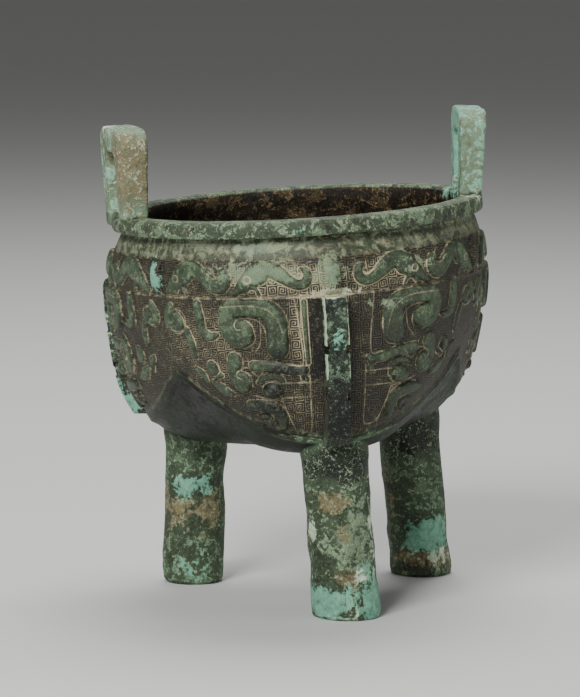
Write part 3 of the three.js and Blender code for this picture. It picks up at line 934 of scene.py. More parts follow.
@dataclass(frozen=True)
class Handle:
    """An upright loop that stands on the rim, its outer face flush with the rim's edge.

    Attributes:
        side: -1 or 1, the side of the vessel.
        height: Over the rim's top.
        base: Thickness at the rim.
        top: Thickness at its top.
        inset: How far its outer face stands in from the rim's edge.
        turn: Degrees that it twists about the upright.
        tilt: Degrees that it tips outwards.
        seed: Which unevenness it has.
        width: Across the loop.
        hole: Across its opening.
        bar: Thickness of the bar over the opening.
        corner: Radius of its two upper corners.
        edge: How far its edges are rounded.
        embed: How far it reaches down into the rim.
    """

    side: int
    height: float
    base: float
    top: float
    inset: float
    turn: float
    tilt: float
    seed: int
    width: float = 44.0
    hole: float = 20.0
    bar: float = 10.6
    corner: float = 9.0
    edge: float = 1.7
    embed: float = 6.0

    def block(self, size: tuple[float, float, float], z: float, corner: float) -> bpy.types.Object:
        """A block across the handle's thickness with its two upper corners rounded."""
        block = new_block("block", z * MM)
        block.scale = [length * MM for length in size]
        bpy.ops.object.transform_apply(location=True, rotation=True, scale=True)
        bpy.ops.object.mode_set(mode="EDIT")
        bpy.ops.mesh.select_mode(type="EDGE")
        bpy.ops.mesh.select_all(action="DESELECT")
        bpy.ops.object.mode_set(mode="OBJECT")
        top = max(vertex.co.z for vertex in block.data.vertices)
        for edge in block.data.edges:
            ends = [block.data.vertices[i].co for i in edge.vertices]
            across = abs(ends[0].x - ends[1].x) > 1e-6
            edge.select = across and min(end.z for end in ends) > top - 1e-6
        bpy.ops.object.mode_set(mode="EDIT")
        bpy.ops.mesh.bevel(offset=corner * MM, segments=7, affect="EDGES")
        bpy.ops.object.mode_set(mode="OBJECT")
        return block

    def build(self, stance: Stance, rim: Rim) -> bpy.types.Object:
        """Builds the loop, rounds its edges, makes it uneven and stands it on the rim."""
        tall = self.height + self.embed
        handle = self.block((self.top, self.width, tall), self.height - tall / 2, self.corner)
        hole_top = self.height - self.bar
        hole = self.block((4 * self.top, self.hole, hole_top), hole_top / 2, 4.0)
        combine(handle, hole, "DIFFERENCE")
        handle.name = "handle"
        soften(handle, self.edge, 3)
        apply_modifier(handle, "REMESH", mode="VOXEL", voxel_size=1.05 * MM)
        points = vertex_places(handle) / MM
        share = np.clip(points[:, 2] / self.height, 0, 1)
        points[:, 0] *= (self.base + (self.top - self.base) * share) / self.top
        lumps = Unevenness(0.28, 12, self.seed, 24).at(points)
        lumps = lumps + Unevenness(0.12, 4, self.seed + 9, 40).at(points)
        points *= 1 + (lumps / np.maximum(np.linalg.norm(points, axis=1), 8))[:, None]
        turned = Matrix.Rotation(math.radians(self.side * self.tilt), 3, "Y")
        turned = Matrix.Rotation(math.radians(self.turn), 3, "Z") @ turned
        points = points @ np.array(turned).T
        points += [self.side * (rim.outer - self.inset - self.base / 2), 0, rim.top]
        set_vertex_places(handle, stance.to_model(points))
        return handle


@dataclass(frozen=True)
class Flange:
    """A straight rib up a lobe or a valley.

    Attributes:
        azimuth: Where it stands, in degrees.
        bottom: Height of its lower end.
        top: Height of its upper end.
        width: Across its face.
        draft: How much wider each side is at the wall.
        rise: How far it stands out of the wall.
        low_rise: The same at its lower end.
        notches: Height and length of the slots in its sides.
        notch_depth: Depth of those slots.
        rounded: Whether it is one round swelling from end to end.
        root: How far it reaches into the wall.
        seed: Which unevenness it has.
    """

    azimuth: float
    bottom: float
    top: float
    width: float
    rise: float
    low_rise: float
    seed: int
    draft: float = 0.5
    notches: tuple[tuple[float, float], ...] = ()
    notch_depth: float = 1.9
    rounded: bool = False
    root: float = 2.4

    def lift_at(self, z: Array) -> Array:
        """How far the face stands out of the wall at heights."""
        if self.rounded:
            middle, half = (self.top + self.bottom) / 2, (self.top - self.bottom) / 2
            return self.rise * np.sqrt(np.clip(1 - ((z - middle) / half) ** 2, 0.01, 1))
        towards_foot = smooth_step(z, 110.0, 88.0)
        upper_slope = 1.6 * smooth_step(z, self.top - 4, self.top + 2)
        return self.rise + (self.low_rise - self.rise) * towards_foot - upper_slope

    def build(self, stance: Stance, wall: Wall) -> bpy.types.Object:
        """Builds the rib from a block, cuts its notches and softens its edges."""
        tall = self.top - self.bottom
        rib = new_block("flange")
        cuts = max(int(tall / 1.6), 6)
        slice_active([(0, 0, cut / cuts - 0.5) for cut in range(1, cuts)], (0, 0, 1))
        slice_active([(0, cut, 0) for cut in (-0.43, -0.3, 0.0, 0.3, 0.43)], (0, 1, 0))
        unit = vertex_places(rib)
        z = self.bottom + (unit[:, 2] + 0.5) * tall
        out = unit[:, 0] > 0
        crown = 0.7 if self.rounded else 0.12
        lift = np.where(out, self.lift_at(z) - crown * (2 * unit[:, 1]) ** 4, -self.root)
        across = unit[:, 1] * (self.width + np.where(out, 0.0, 2 * self.draft))
        points = self.place(wall, across, wall.radius(self.azimuth, z) + lift, z)
        wobble = Unevenness(0.13, 8, self.seed, 24).at(points)
        points += wobble[:, None] * 0.8
        set_vertex_places(rib, stance.to_model(points))
        for height, length in self.notches:
            for side in (-1, 1):
                combine(rib, self.notch(stance, wall, (height, length), side), "DIFFERENCE")
        soften(rib, 0.45, 2)
        return rib

    def place(self, wall: Wall, across: Array, radius: Array, z: Array) -> Array:
        """Rows of points of the upright casting, from places across the rib."""
        angle = math.radians(self.azimuth)
        x = radius * math.cos(angle) - across * math.sin(angle)
        y = radius * math.sin(angle) + across * math.cos(angle)
        return np.stack([x, y, z], 1)

    def notch(
        self, stance: Stance, wall: Wall, slot: tuple[float, float], side: int
    ) -> bpy.types.Object:
        """The block that cuts one slot, of a height and length, into a side of the rib."""
        height, length = slot
        block = new_block("notch")
        unit = vertex_places(block)
        across = side * (self.width / 2 + 0.4) + unit[:, 1] * 2 * self.notch_depth
        radius = wall.radius(self.azimuth, np.full(len(unit), height))
        radius = radius + self.low_rise / 2 - 0.6 + unit[:, 0] * self.low_rise
        points = self.place(wall, across, radius, height + unit[:, 2] * length)
        set_vertex_places(block, stance.to_model(points))
        return block


# ---- Shader graph -------------------------------------------------------------------------
class Graph:
    """A material's node tree, with one method that adds any node."""

    def __init__(self, name: str) -> None:
        """Starts an empty material."""
        self.material = bpy.data.materials.new(name)
        self.material.use_nodes = True
        self.tree = self.material.node_tree
        self.tree.nodes.clear()

    def node(
        self, kind: str, settings: dict | None = None, inputs: dict | None = None
    ) -> bpy.types.Node:
        """Adds a node.

        Args:
            kind: The node's type.
            settings: Its settings by name.
            inputs: Values or links by the socket's name, identifier or number.

        Returns:
            The new node.
        """
        made = self.tree.nodes.new(kind)
        for name, value in (settings or {}).items():
            setattr(made, name, value)
        for key, value in (inputs or {}).items():
            socket = self.find(made, key)
            source = value.socket if isinstance(value, Value) else value
            if isinstance(source, bpy.types.NodeSocket):
                self.tree.links.new(source, socket)
            else:
                socket.default_value = source
        return made

    @staticmethod
    def find(node: bpy.types.Node, key: str | int) -> bpy.types.NodeSocket:
        """A node's input by number, identifier or name."""
        if isinstance(key, int):
            return node.inputs[key]
        for socket in node.inputs:
            if socket.identifier == key:
                return socket
        return node.inputs[key]

    def attribute(self, name: str) -> "Value":
        """The number that the mesh stores under a name."""
        return Value(self, self.node("ShaderNodeAttribute", {"attribute_name": name}).outputs["Fac"])

    def noise(
        self, scale: float, detail: float, rough: float = 0.55, distortion: float = 0.0
    ) -> "Value":
        """Noise over the object's own coordinates, whose scale is in waves a metre."""
        place = self.node("ShaderNodeTexCoord").outputs["Object"]
        inputs = {"Vector": place, "Scale": scale, "Detail": detail}
        inputs |= {"Roughness": rough, "Distortion": distortion}
        return Value(self, self.node("ShaderNodeTexNoise", {}, inputs).outputs["Fac"])

    def mix(self, factor: "Value | float", first: object, second: object) -> bpy.types.NodeSocket:
        """A colour between two colours."""
        inputs = {"Factor_Float": factor, "A_Color": first, "B_Color": second}
        return self.colour_of(self.node("ShaderNodeMix", {"data_type": "RGBA"}, inputs))

    def times(self, colour: object, factor: object) -> bpy.types.NodeSocket:
        """A colour made darker or lighter by another."""
        settings = {"data_type": "RGBA", "blend_type": "MULTIPLY"}
        inputs = {"Factor_Float": 1.0, "A_Color": colour, "B_Color": factor}
        return self.colour_of(self.node("ShaderNodeMix", settings, inputs))

    @staticmethod
    def colour_of(node: bpy.types.Node) -> bpy.types.NodeSocket:
        """A Mix node's colour."""
        return next(socket for socket in node.outputs if socket.identifier == "Result_Color")


class Value:
    """A number that varies over a surface. Operators on it add Math nodes."""

    def __init__(self, graph: Graph, socket: bpy.types.NodeSocket) -> None:
        """Wraps an output socket of a graph."""
        self.graph = graph
        self.socket = socket

    def math(self, operation: str, *others: "Value | float") -> "Value":
        """The result of a Math node with this number first."""
        inputs = dict(enumerate([self, *others]))
        node = self.graph.node("ShaderNodeMath", {"operation": operation}, inputs)
        return Value(self.graph, node.outputs[0])

    def __add__(self, other: "Value | float") -> "Value":
        """This number plus another."""
        return self.math("ADD", other)

    __radd__ = __add__

    def __sub__(self, other: "Value | float") -> "Value":
        """This number less another."""
        return self.math("SUBTRACT", other)

    def __rsub__(self, other: float) -> "Value":
        """Another number less this one."""
        return (self * -1.0) + other

    def __mul__(self, other: "Value | float") -> "Value":
        """This number times another."""
        return self.math("MULTIPLY", other)

    def __truediv__(self, other: "Value | float") -> "Value":
        """This number over another."""
        return self.math("DIVIDE", other)

    def __abs__(self) -> "Value":
        """This number without its sign."""
        return self.math("ABSOLUTE")

    def at_least(self, other: "Value | float") -> "Value":
        """The greater of this number and another."""
        return self.math("MAXIMUM", other)

    def at_most(self, other: "Value | float") -> "Value":
        """The lesser of this number and another."""
        return self.math("MINIMUM", other)

    def part(self) -> "Value":
        """This number's fraction."""
        return self.math("FRACT")

    def whole(self) -> "Value":
        """This number's whole part."""
        return self.math("FLOOR")

    def step(self, low: float, high: float) -> "Value":
        """0 at low and 1 at high, smooth between them; low may be the greater."""
        settings = {"interpolation_type": "SMOOTHSTEP"}
        if low <= high:
            inputs = {"Value": self, "From Min": low, "From Max": high}
        else:
            inputs = {"Value": self, "From Min": high, "From Max": low, "To Min": 1.0, "To Max": 0.0}
        return Value(self.graph, self.graph.node("ShaderNodeMapRange", settings, inputs).outputs["Result"])


def linear(red: int, green: int, blue: int) -> tuple[float, float, float, float]:
    """A colour given in 256 steps a channel, as the renderer's own."""
    channels = [value / 255 for value in (red, green, blue)]
    curve = [c / 12.92 if c <= 0.04045 else ((c + 0.055) / 1.055) ** 2.4 for c in channels]
    return (*curve, 1.0)


# ---- Patina -------------------------------------------------------------------------------
class StainAndHighlight(Enum):
    """The kinds of patch laid on the casting, each stored on the mesh under its own name: marks that burial
    left, pale crust partly mixed with painted highlights, and painted highlights.
    """

    BLACK = "stain_black"
    TURQUOISE = "stain_turquoise"
    # Pale crust, partly painted highlights.
    PALE_AND_HIGHLIGHT = "stain_pale_and_highlight"
    TAN = "stain_tan"
    RUST = "stain_rust"
    # Painted highlights: a light green sheen where light falls on the dragons, the neck, the ledge and the
    # legs.
    PAINTED_HIGHLIGHT = "painted_highlight"
    SILT = "stain_silt"


@dataclass(frozen=True)
class Patch:
    """A patch of one kind of mark, left by burial or painted as highlight.

    Attributes:
        stain_and_highlight: Which kind of patch.
        azimuth: Where it is, in degrees of the casting.
        height: Where it is.
        wide: Half its width.
        tall: Half its height.
        strength: How strong it is in its middle.
        reach: Distance from the casting's axis, where that matters.
    """

    stain_and_highlight: StainAndHighlight
    azimuth: float
    height: float
    wide: float
    tall: float
    strength: float = 1.0
    reach: float | None = None

    def at(self, points: Array) -> Array:
        """How strong the patch is at rows of points of the upright casting."""
        radius = np.hypot(points[:, 0], points[:, 1])
        azimuth = np.degrees(np.arctan2(points[:, 1], points[:, 0]))
        turn = np.mod(azimuth - self.azimuth + 180, 360) - 180
        offset = np.radians(turn) * radius
        far = (offset / self.wide) ** 2 + ((points[:, 2] - self.height) / self.tall) ** 2
        if self.reach is not None:
            far = far + ((radius - self.reach) / 12) ** 2
        far = far + (np.abs(turn) > 80) * 9
        return self.strength * np.exp(-far)


class Zone(Enum):
    """The parts of the casting that weathered differently, each stored under its own name."""

    GROUND = "zone_ground"
    NECK = "zone_neck"
    UNDER = "zone_under"
    FLANGE = "zone_flange"
    RIM = "zone_rim"
    LEG = "zone_leg"
    HANDLE = "zone_handle"
    INSIDE = "zone_inside"


@dataclass
class BurialAndHighlights:
    """What is stored on the casting for its finish: where the ornament, the marks of burial and the painted
    highlights lie.

    Attributes:
        stance: Where the casting stands.
        wall: The lobed wall.
        rim: The rim.
        mask: The ornament.
        silted_rings: Heights of the ledge and grooves that hold sediment.
        ring_half: Half of the sediment's width there.
        face_half: Half of a long flange's face, whose edges are worn.
    """

    stance: Stance
    wall: Wall
    rim: Rim
    mask: Mask
    silted_rings: tuple[float, ...] = (138.9, 154.8, 156.5, 158.3, 161.4)
    ring_half: float = 0.42
    face_half: float = 4.9

    def patches(self) -> list[Patch]:
        """Every patch, of burial marks and of painted highlights, from rows of azimuth, height, half sizes,
        strength and reach.
        """
        rows_of = {
            StainAndHighlight.BLACK: (
                (-91.3, 86, 8, 15, 1.5, 90), (-90, 66, 14, 8, 1.3), (-112, 90, 22, 7, 0.6),
                (-76, 92, 26, 16, 0.5), (-103, 108.3, 11, 3.4, 1.3), (-111, 99.8, 6, 4, 1.3),
                (-108, 116, 5, 3, 0.7), (-111, 92, 12, 5, 1.2), (-150, 96, 16, 7, 0.9),
                (-150, 80, 15, 6, 1.1), (-40, 116, 34, 30, 0.45), (20, 62, 20, 12, 0.8),
                (-135, 167, 12, 2.5, 0.5),
            ),
            StainAndHighlight.TURQUOISE: (
                (150, 82, 9, 10, 1.3, 86), (150, 120, 7, 20, 0.5, 88), (-150, 147, 4, 8, 0.9),
                (-91.3, 118, 4, 9, 0.6, 90), (-82, 20, 9, 8, 0.5), (-98, 8, 12, 10, 0.95),
                (-80, 5, 12, 12, 0.95), (14, 16, 9, 10, 1.0), (164, 48, 5, 6, 0.8),
                (168, 12, 8, 14, 0.55), (-100, 166, 8, 3, 0.5), (-128, 166, 10, 3, 0.4),
                (0, 190, 24, 26, 1.0), (180, 176, 10, 10, 0.6),
            ),
            # Pale crust, and painted highlights: the narrow upright strips on both sides of the front leg and
            # the strip along the rim's top edge at -20 degrees.
            StainAndHighlight.PALE_AND_HIGHLIGHT: (
                (-91.3, 140, 10, 2.0, 1.0), (-79, 40, 2.5, 26, 0.6), (-101, 38, 2.5, 12, 0.6),
                (-88, 2, 14, 4, 0.4), (-86, 18, 5, 4, 0.5), (17, 6, 12, 5, 0.5),
                (0, 174, 14, 3, 0.8), (-20, 169, 12, 1.5, 0.6), (175, 205, 14, 4, 0.5),
            ),
            StainAndHighlight.TAN: (
                (-94, 50, 9, 6, 0.85), (-91, 40, 6, 8, 0.5), (-90, 18, 9, 5, 0.75),
                (160, 36, 9, 14, 0.6), (18, 6, 14, 6, 0.85), (30, 34, 5, 14, 0.55),
                (194, 190, 14, 18, 1.0),
            ),
            StainAndHighlight.RUST: (
                (180, 184, 7, 10, 1.1, 78),
            ),
            # Painted highlights: a light green sheen on the lit dragons, the neck's highlight, the ledge and
            # the legs.
            StainAndHighlight.PAINTED_HIGHLIGHT: (
                (-112, 149, 26, 6, 0.8), (-66, 149, 20, 5, 0.5), (-112, 159, 16, 3, 0.8),
                (-92, 148, 9, 8, 0.8), (-76, 134, 16, 3, 0.5), (-86, 34, 18, 34, 0.6),
                (17, 14, 18, 20, 0.4),
            ),
            StainAndHighlight.SILT: (
                (-100, 125, 7, 18, 0.7), (-104, 146, 30, 7, 0.8), (-94, 139, 14, 4, 1.0),
                (-72, 146, 24, 7, 0.65), (-102, 92, 8, 12, 0.4), (-130, 120, 30, 22, 0.45),
                (90, 120, 190, 26, 0.35),
            ),
        }
        return [Patch(stain_and_highlight, *row) for stain_and_highlight, rows in rows_of.items() for row in rows]

    def zones(self, points: Array, lift: Array, u: Array, ground: Array) -> dict[Zone, Array]:
        """Which part of the casting each vertex is on, as 0 or 1."""
        z = points[:, 2]
        inside = lift < -self.wall.thickness * 0.5
        inside = inside & (z < self.rim.top - 1.0) & (z > self.wall.bottom + 1)
        handle = z > self.rim.top + 0.6
        rim = (z > self.rim.under - 0.2) & ~handle & ~inside
        leg = (z < 79.5) & (lift > 0.6) & ~((lift > 3.0) & (z > 74.0) & (u < 6))
        outside = ~(inside | leg | handle | rim)
        flange = outside & (lift > 3.0) & (z > 72) & (u < 7)
        neck = outside & ~flange & (z > self.mask.band_top + 0.3)
        return {
            Zone.GROUND: ground * (outside & ~flange),
            Zone.NECK: neck,
            Zone.UNDER: outside & ~flange & ~neck & (ground < 0.5),
            Zone.FLANGE: flange,
            Zone.RIM: rim,
            Zone.LEG: leg,
            Zone.HANDLE: handle,
            Zone.INSIDE: inside,
        }

    def store(self, piece: bpy.types.Object) -> None:
        """Stores every field on the casting's vertices."""
        points = self.stance.from_model(vertex_places(piece))
        azimuth = np.degrees(np.arctan2(points[:, 1], points[:, 0]))
        radius, z = np.hypot(points[:, 0], points[:, 1]), points[:, 2]
        within = np.clip(z, self.wall.bottom, self.rim.under)
        wall_radius = self.wall.radius(azimuth, within)
        higher = np.minimum(within + 0.5, self.rim.under)
        slope = (self.wall.radius(azimuth, higher) - wall_radius) / 0.5
        lift = (radius - wall_radius) / np.sqrt(1 + slope**2)
        lobe, side, u = self.wall.layout(azimuth)
        fields = self.mask.relief(self.wall, azimuth, z)
        fields.pop("lift")
        x, y = self.mask.drawn_at(side, u, z)
        zones = self.zones(points, lift, u, fields["ground"])
        fields["ground"] = np.asarray(zones[Zone.GROUND], float)
        relief = smooth_step(fields["edge"], 0.3, -0.3)
        zones[Zone.GROUND] = fields["ground"] * (1 - relief)
        rings = [ridge(z - height, self.ring_half) for height in self.silted_rings]
        hem = self.mask.hem(self.wall, azimuth)
        rings.append(0.6 * ridge(z - hem - 1.6, 0.5))
        on_wall = (zones[Zone.NECK] > 0) | (fields["ground"] > 0) | (zones[Zone.UNDER] > 0)
        half_face = self.face_half * self.wall.mean_radius / np.maximum(radius, 1)
        face_edge = ridge(u - half_face, 0.5) * smooth_step(z, 98.0, 110.0)
        face_edge = face_edge * np.where(lobe == 0, 1.0, 0.6)
        bare = smooth_step(u, 13.2, 12.4) * (side < 0) * smooth_step(z, 103.0, 105.0)
        fields |= {
            "layout_u": x,
            "layout_v": y,
            "ring": np.max(rings, 0) * on_wall,
            "bare": bare * (z < 138.0),
            "wear": face_edge * zones[Zone.FLANGE],
        }
        fields |= {zone.value: values for zone, values in zones.items()}
        for stain_and_highlight in StainAndHighlight:
            fields[stain_and_highlight.value] = np.zeros(len(points))
        for patch in self.patches():
            fields[patch.stain_and_highlight.value] = np.maximum(fields[patch.stain_and_highlight.value], patch.at(points))
        for name, values in fields.items():
            attribute = piece.data.attributes.new(name, "FLOAT", "POINT")
            attribute.data.foreach_set("value", np.asarray(values, np.float32))


Colour = tuple[int, int, int]


@dataclass(frozen=True)
class Tones:
    """The colours of one part of the casting, each channel in 256 steps.

    Attributes:
        dark: The oldest, lowest layer.
        body: The patina that covers most of it.
        light: The powdery layer on top, in crisp flakes.
        fleck: Scattered specks.
        crust: How much of that layer there is, from -1 to 1.
    """

    dark: Colour
    body: Colour
    light: Colour
    fleck: Colour
    crust: float = 0.0


class Coat:
    """The layers of a finish, laid one over another, with the height that they add."""

    def __init__(self, graph: Graph, colour: object) -> None:
        """Starts from one colour and no height."""
        self.graph = graph
        self.colour = colour
        self.height: Value | float = 0.0

    def lay(self, amount: Value, colour: object, rise: float = 0.0) -> None:
        """Lays a colour where amount is 1, and adds a height there in tenths of a millimetre."""
        tone = linear(*colour) if isinstance(colour, tuple) else colour
        self.colour = self.graph.mix(amount, self.colour, tone)
        if rise:
            self.height = amount * rise + self.height


@dataclass(frozen=True)
class BronzePatina:
    """The finish of the whole casting: green patina, brown ground and pale sediment, with painted highlights
    and painted shade.

    Attributes:
        relief: Tones of the raised ornament.
        zones: Tones of the other parts.
        sediment: Colour of what fills the grooves.
        silt: Colour of the soil on the ground between them.
        stains_and_highlights: Colour and rise of each kind of patch, in the order they are laid.
        cell: Width and height of one spiral of the ground.
        turns: How often a spiral turns.
        hatch_pitch: Distance between hatching lines.
        broad: Scale, detail, roughness and distortion of the widest mottling.
        flakes: The same for flakes of crust.
        fine: The same for specks.
        grain: The same for the finest grain.
    """

    relief: Tones = Tones((45, 53, 38), (60, 73, 53), (84, 100, 75), (150, 168, 140), 0.0)
    zones: tuple[tuple[Zone, Tones], ...] = (
        (Zone.GROUND, Tones((13, 13, 9), (24, 24, 17), (42, 44, 31), (150, 144, 118), -0.1)),
        (Zone.NECK, Tones((44, 50, 37), (60, 70, 52), (90, 101, 80), (160, 160, 136), 0.1)),
        (Zone.UNDER, Tones((6, 8, 4), (14, 20, 9), (34, 48, 28), (100, 108, 84), 0.1)),
        (Zone.FLANGE, Tones((16, 19, 14), (38, 48, 36), (78, 100, 78), (176, 196, 170), 0.0)),
        (Zone.RIM, Tones((42, 46, 33), (60, 72, 53), (92, 112, 86), (190, 194, 162), 0.1)),
        (Zone.LEG, Tones((40, 48, 32), (58, 73, 51), (84, 106, 80), (170, 192, 158), 0.05)),
        (Zone.HANDLE, Tones((96, 98, 74), (112, 134, 106), (130, 176, 150), (214, 222, 196), 0.1)),
        (Zone.INSIDE, Tones((18, 14, 8), (38, 31, 20), (68, 57, 38), (160, 138, 96), -0.05)),
    )
    sediment: Colour = (196, 184, 148)
    silt: Colour = (76, 72, 52)
    stains_and_highlights: tuple[tuple[StainAndHighlight, Colour, float], ...] = (
        # Painted highlights, light green.
        (StainAndHighlight.PAINTED_HIGHLIGHT, (112, 130, 102), 0.0),
        (StainAndHighlight.TAN, (110, 98, 68), 1.6),
        (StainAndHighlight.TURQUOISE, (108, 166, 142), 1.0),
        (StainAndHighlight.RUST, (150, 92, 44), 0.6),
        (StainAndHighlight.BLACK, (13, 14, 12), -0.6),
        # Pale crust, and painted highlights on the front leg's sides and the rim's top edge.
        (StainAndHighlight.PALE_AND_HIGHLIGHT, (190, 204, 178), 1.0),
    )
    cell: tuple[float, float] = (4.4, 4.5)
    turns: float = 2.3
    hatch_pitch: float = 0.8
    broad: tuple[float, ...] = (90, 6, 0.62, 1.0)
    flakes: tuple[float, ...] = (230, 5, 0.66, 0.8)
    fine: tuple[float, ...] = (720, 4, 0.65)
    grain: tuple[float, ...] = (2300, 2, 0.6)

    def thunder(self, graph: Graph) -> Value:
        """The squared spirals of the ground: 1 in their grooves and 0 on their ridges."""
        wander = (graph.noise(110, 1) - 0.5) * 1.1
        across = (graph.attribute("layout_u") + wander - 0.9) / self.cell[0]
        up = (graph.attribute("layout_v") - wander) / self.cell[1]
        x, y = across.part() * 2.0 - 1.0, up.part() * 2.0 - 1.0
        odd = ((across.whole() + up.whole()) * 0.5).part() * 4.0 - 1.0
        turn = (y * odd).math("ARCTAN2", x) / (2 * math.pi)
        wave = abs((abs(x).at_least(abs(y)) * self.turns + turn).part() - 0.5) * 2.0
        return wave.step(0.46, 0.74)

    def tone(self, graph: Graph, pick: str) -> object:
        """One of the tones, blended from part to part of the casting."""
        colour = linear(*getattr(self.relief, pick))
        for zone, tones in self.zones:
            colour = graph.mix(graph.attribute(zone.value), colour, linear(*getattr(tones, pick)))
        return colour

    def crust(self, graph: Graph) -> Value:
        """How readily each part of the casting is crusted."""
        amount = graph.noise(13, 1) * 0.3 - 0.15 + self.relief.crust
        for zone, tones in self.zones:
            amount = graph.attribute(zone.value) * (tones.crust - self.relief.crust) + amount
        return amount

    def build(self) -> bpy.types.Material:
        """Builds the material."""
        graph = Graph("patinated_bronze")
        broad = graph.noise(*self.broad)
        flakes = graph.noise(*self.flakes)
        fine = graph.noise(*self.fine)
        grain = graph.noise(*self.grain)
        crust = self.crust(graph)
        ground = graph.attribute("ground")
        edge = graph.attribute("edge")
        rough_zones = graph.attribute(Zone.LEG.value) + graph.attribute(Zone.HANDLE.value)
        rough_zones = rough_zones + graph.attribute(Zone.INSIDE.value) * 1.6
        rough_zones = rough_zones + graph.attribute(Zone.RIM.value) * 0.8

        coat = Coat(graph, self.tone(graph, "dark"))
        # Painted shade: fewer of the lighter layers towards the bottom of the ornament band, so it darkens
        # downwards from 130 mm to 98 mm.
        low = graph.attribute("layout_v").step(130.0, 98.0) * ground
        body = (broad + (fine - 0.5) * 0.5 + crust * 0.5 - low * 0.09).step(0.31, 0.55)
        coat.lay(body, self.tone(graph, "body"))
        powder = broad * 0.45 + flakes * 0.55 + crust * 0.3 + (fine - 0.5) * 0.25 - low * 0.06
        powder = powder.step(0.515, 0.56)
        coat.lay(powder * 0.8, self.tone(graph, "light"), 0.9)

        ragged = (broad - 0.5) * 1.3 + (flakes - 0.5) * 1.5 + (fine - 0.5) * 0.9
        for stain_and_highlight, colour, rise in self.stains_and_highlights:
            field = graph.attribute(stain_and_highlight.value)
            amount = (field + ragged).step(0.38, 0.58) * field.step(0.04, 0.3)
            coat.lay(amount * (flakes * 0.9 + 0.4).at_most(0.95), colour, rise)
        cloudy = (flakes * 0.9 + fine * 0.5 + broad * 0.6 + 0.05).at_least(0.4)
        coat.colour = graph.times(coat.colour, cloudy)
        rugged = rough_zones.at_most(1.0)
        rind = 1.0 - abs(flakes * 0.6 + broad * 0.4 - 0.54 + crust * 0.12).step(0.004, 0.018)
        coat.lay(rind * fine.step(0.44, 0.56) * (rugged * 0.6 + 0.16), self.tone(graph, "fleck"), 1.0)
        coat.lay(fine.step(0.62, 0.7) * 0.4, (14, 15, 10), -1.2)
        coat.lay((grain * 0.6 + fine * 0.4).step(0.575, 0.63) * 0.45, self.tone(graph, "fleck"), 0.4)

        grooves = self.thunder(graph)
        raised = edge.step(0.2, -0.2) * ground
        silted = graph.attribute(StainAndHighlight.SILT.value)
        silt = (silted + (broad - 0.5) * 0.9 + (fine - 0.5) * 0.8).step(0.1, 0.95)
        bare = graph.attribute("bare")
        floor = ground * (1.0 - raised) * (1.0 - bare)
        coat.lay(floor * silted * 0.25, self.silt)
        coat.lay(floor * grooves * (silt * 0.85 + 0.08), self.sediment, -2.6)
        outline = edge.step(-0.12, 0.1) * edge.step(0.6, 0.34) * ground
        cuts = [1.0 - abs(graph.attribute(kind.value)).step(0.2, 0.42) for kind in Cut]
        cut = cuts[0].at_least(cuts[1]).at_least(cuts[2]) * ground
        rings = graph.attribute("ring")
        laid = (silt * 0.65 + (flakes - 0.5) * 1.6 + 0.25).step(0.1, 0.7)
        coat.lay(outline.at_least(rings) * laid * 0.85, self.sediment, -2.0)
        coat.lay(cut * (laid * 0.6 + 0.12), self.sediment, -2.4)
        # Painted shade: dark lines along the hatching's grooves on the raised bands.
        hatching = abs((graph.attribute("hatch") / self.hatch_pitch).part() - 0.5) * 2.0
        hatching = hatching.step(0.3, 0.8) * graph.attribute("hatched") * raised
        hatching = hatching * broad.step(0.28, 0.5)
        coat.lay(hatching * 0.3, (24, 28, 18), -1.8)
        worn = graph.attribute("wear")
        patchy = (worn + (flakes - 0.5) * 1.4 + (fine - 0.5) * 1.0).step(0.5, 0.7)
        worn = patchy * worn.step(0.05, 0.3)
        coat.lay(worn * 0.9, (176, 196, 166), 0.6)

        relief = coat.height + (broad * 2.4 + flakes * 2.4 + fine * 1.4) * (rough_zones * 1.3 + 0.3)
        bump = graph.node("ShaderNodeBump", {}, {"Strength": 1.0, "Distance": 0.0001, "Height": relief})
        rough = 0.36 + powder * 0.2 + fine * 0.3 + floor * 0.1 + rugged * 0.14
        inputs = {"Base Color": coat.colour, "Roughness": rough.at_most(0.95)}
        inputs |= {"Specular IOR Level": 0.35, "Normal": bump.outputs[0]}
        shader = graph.node("ShaderNodeBsdfPrincipled", {}, inputs)
        graph.node("ShaderNodeOutputMaterial", {}, {"Surface": shader.outputs[0]})
        return graph.material


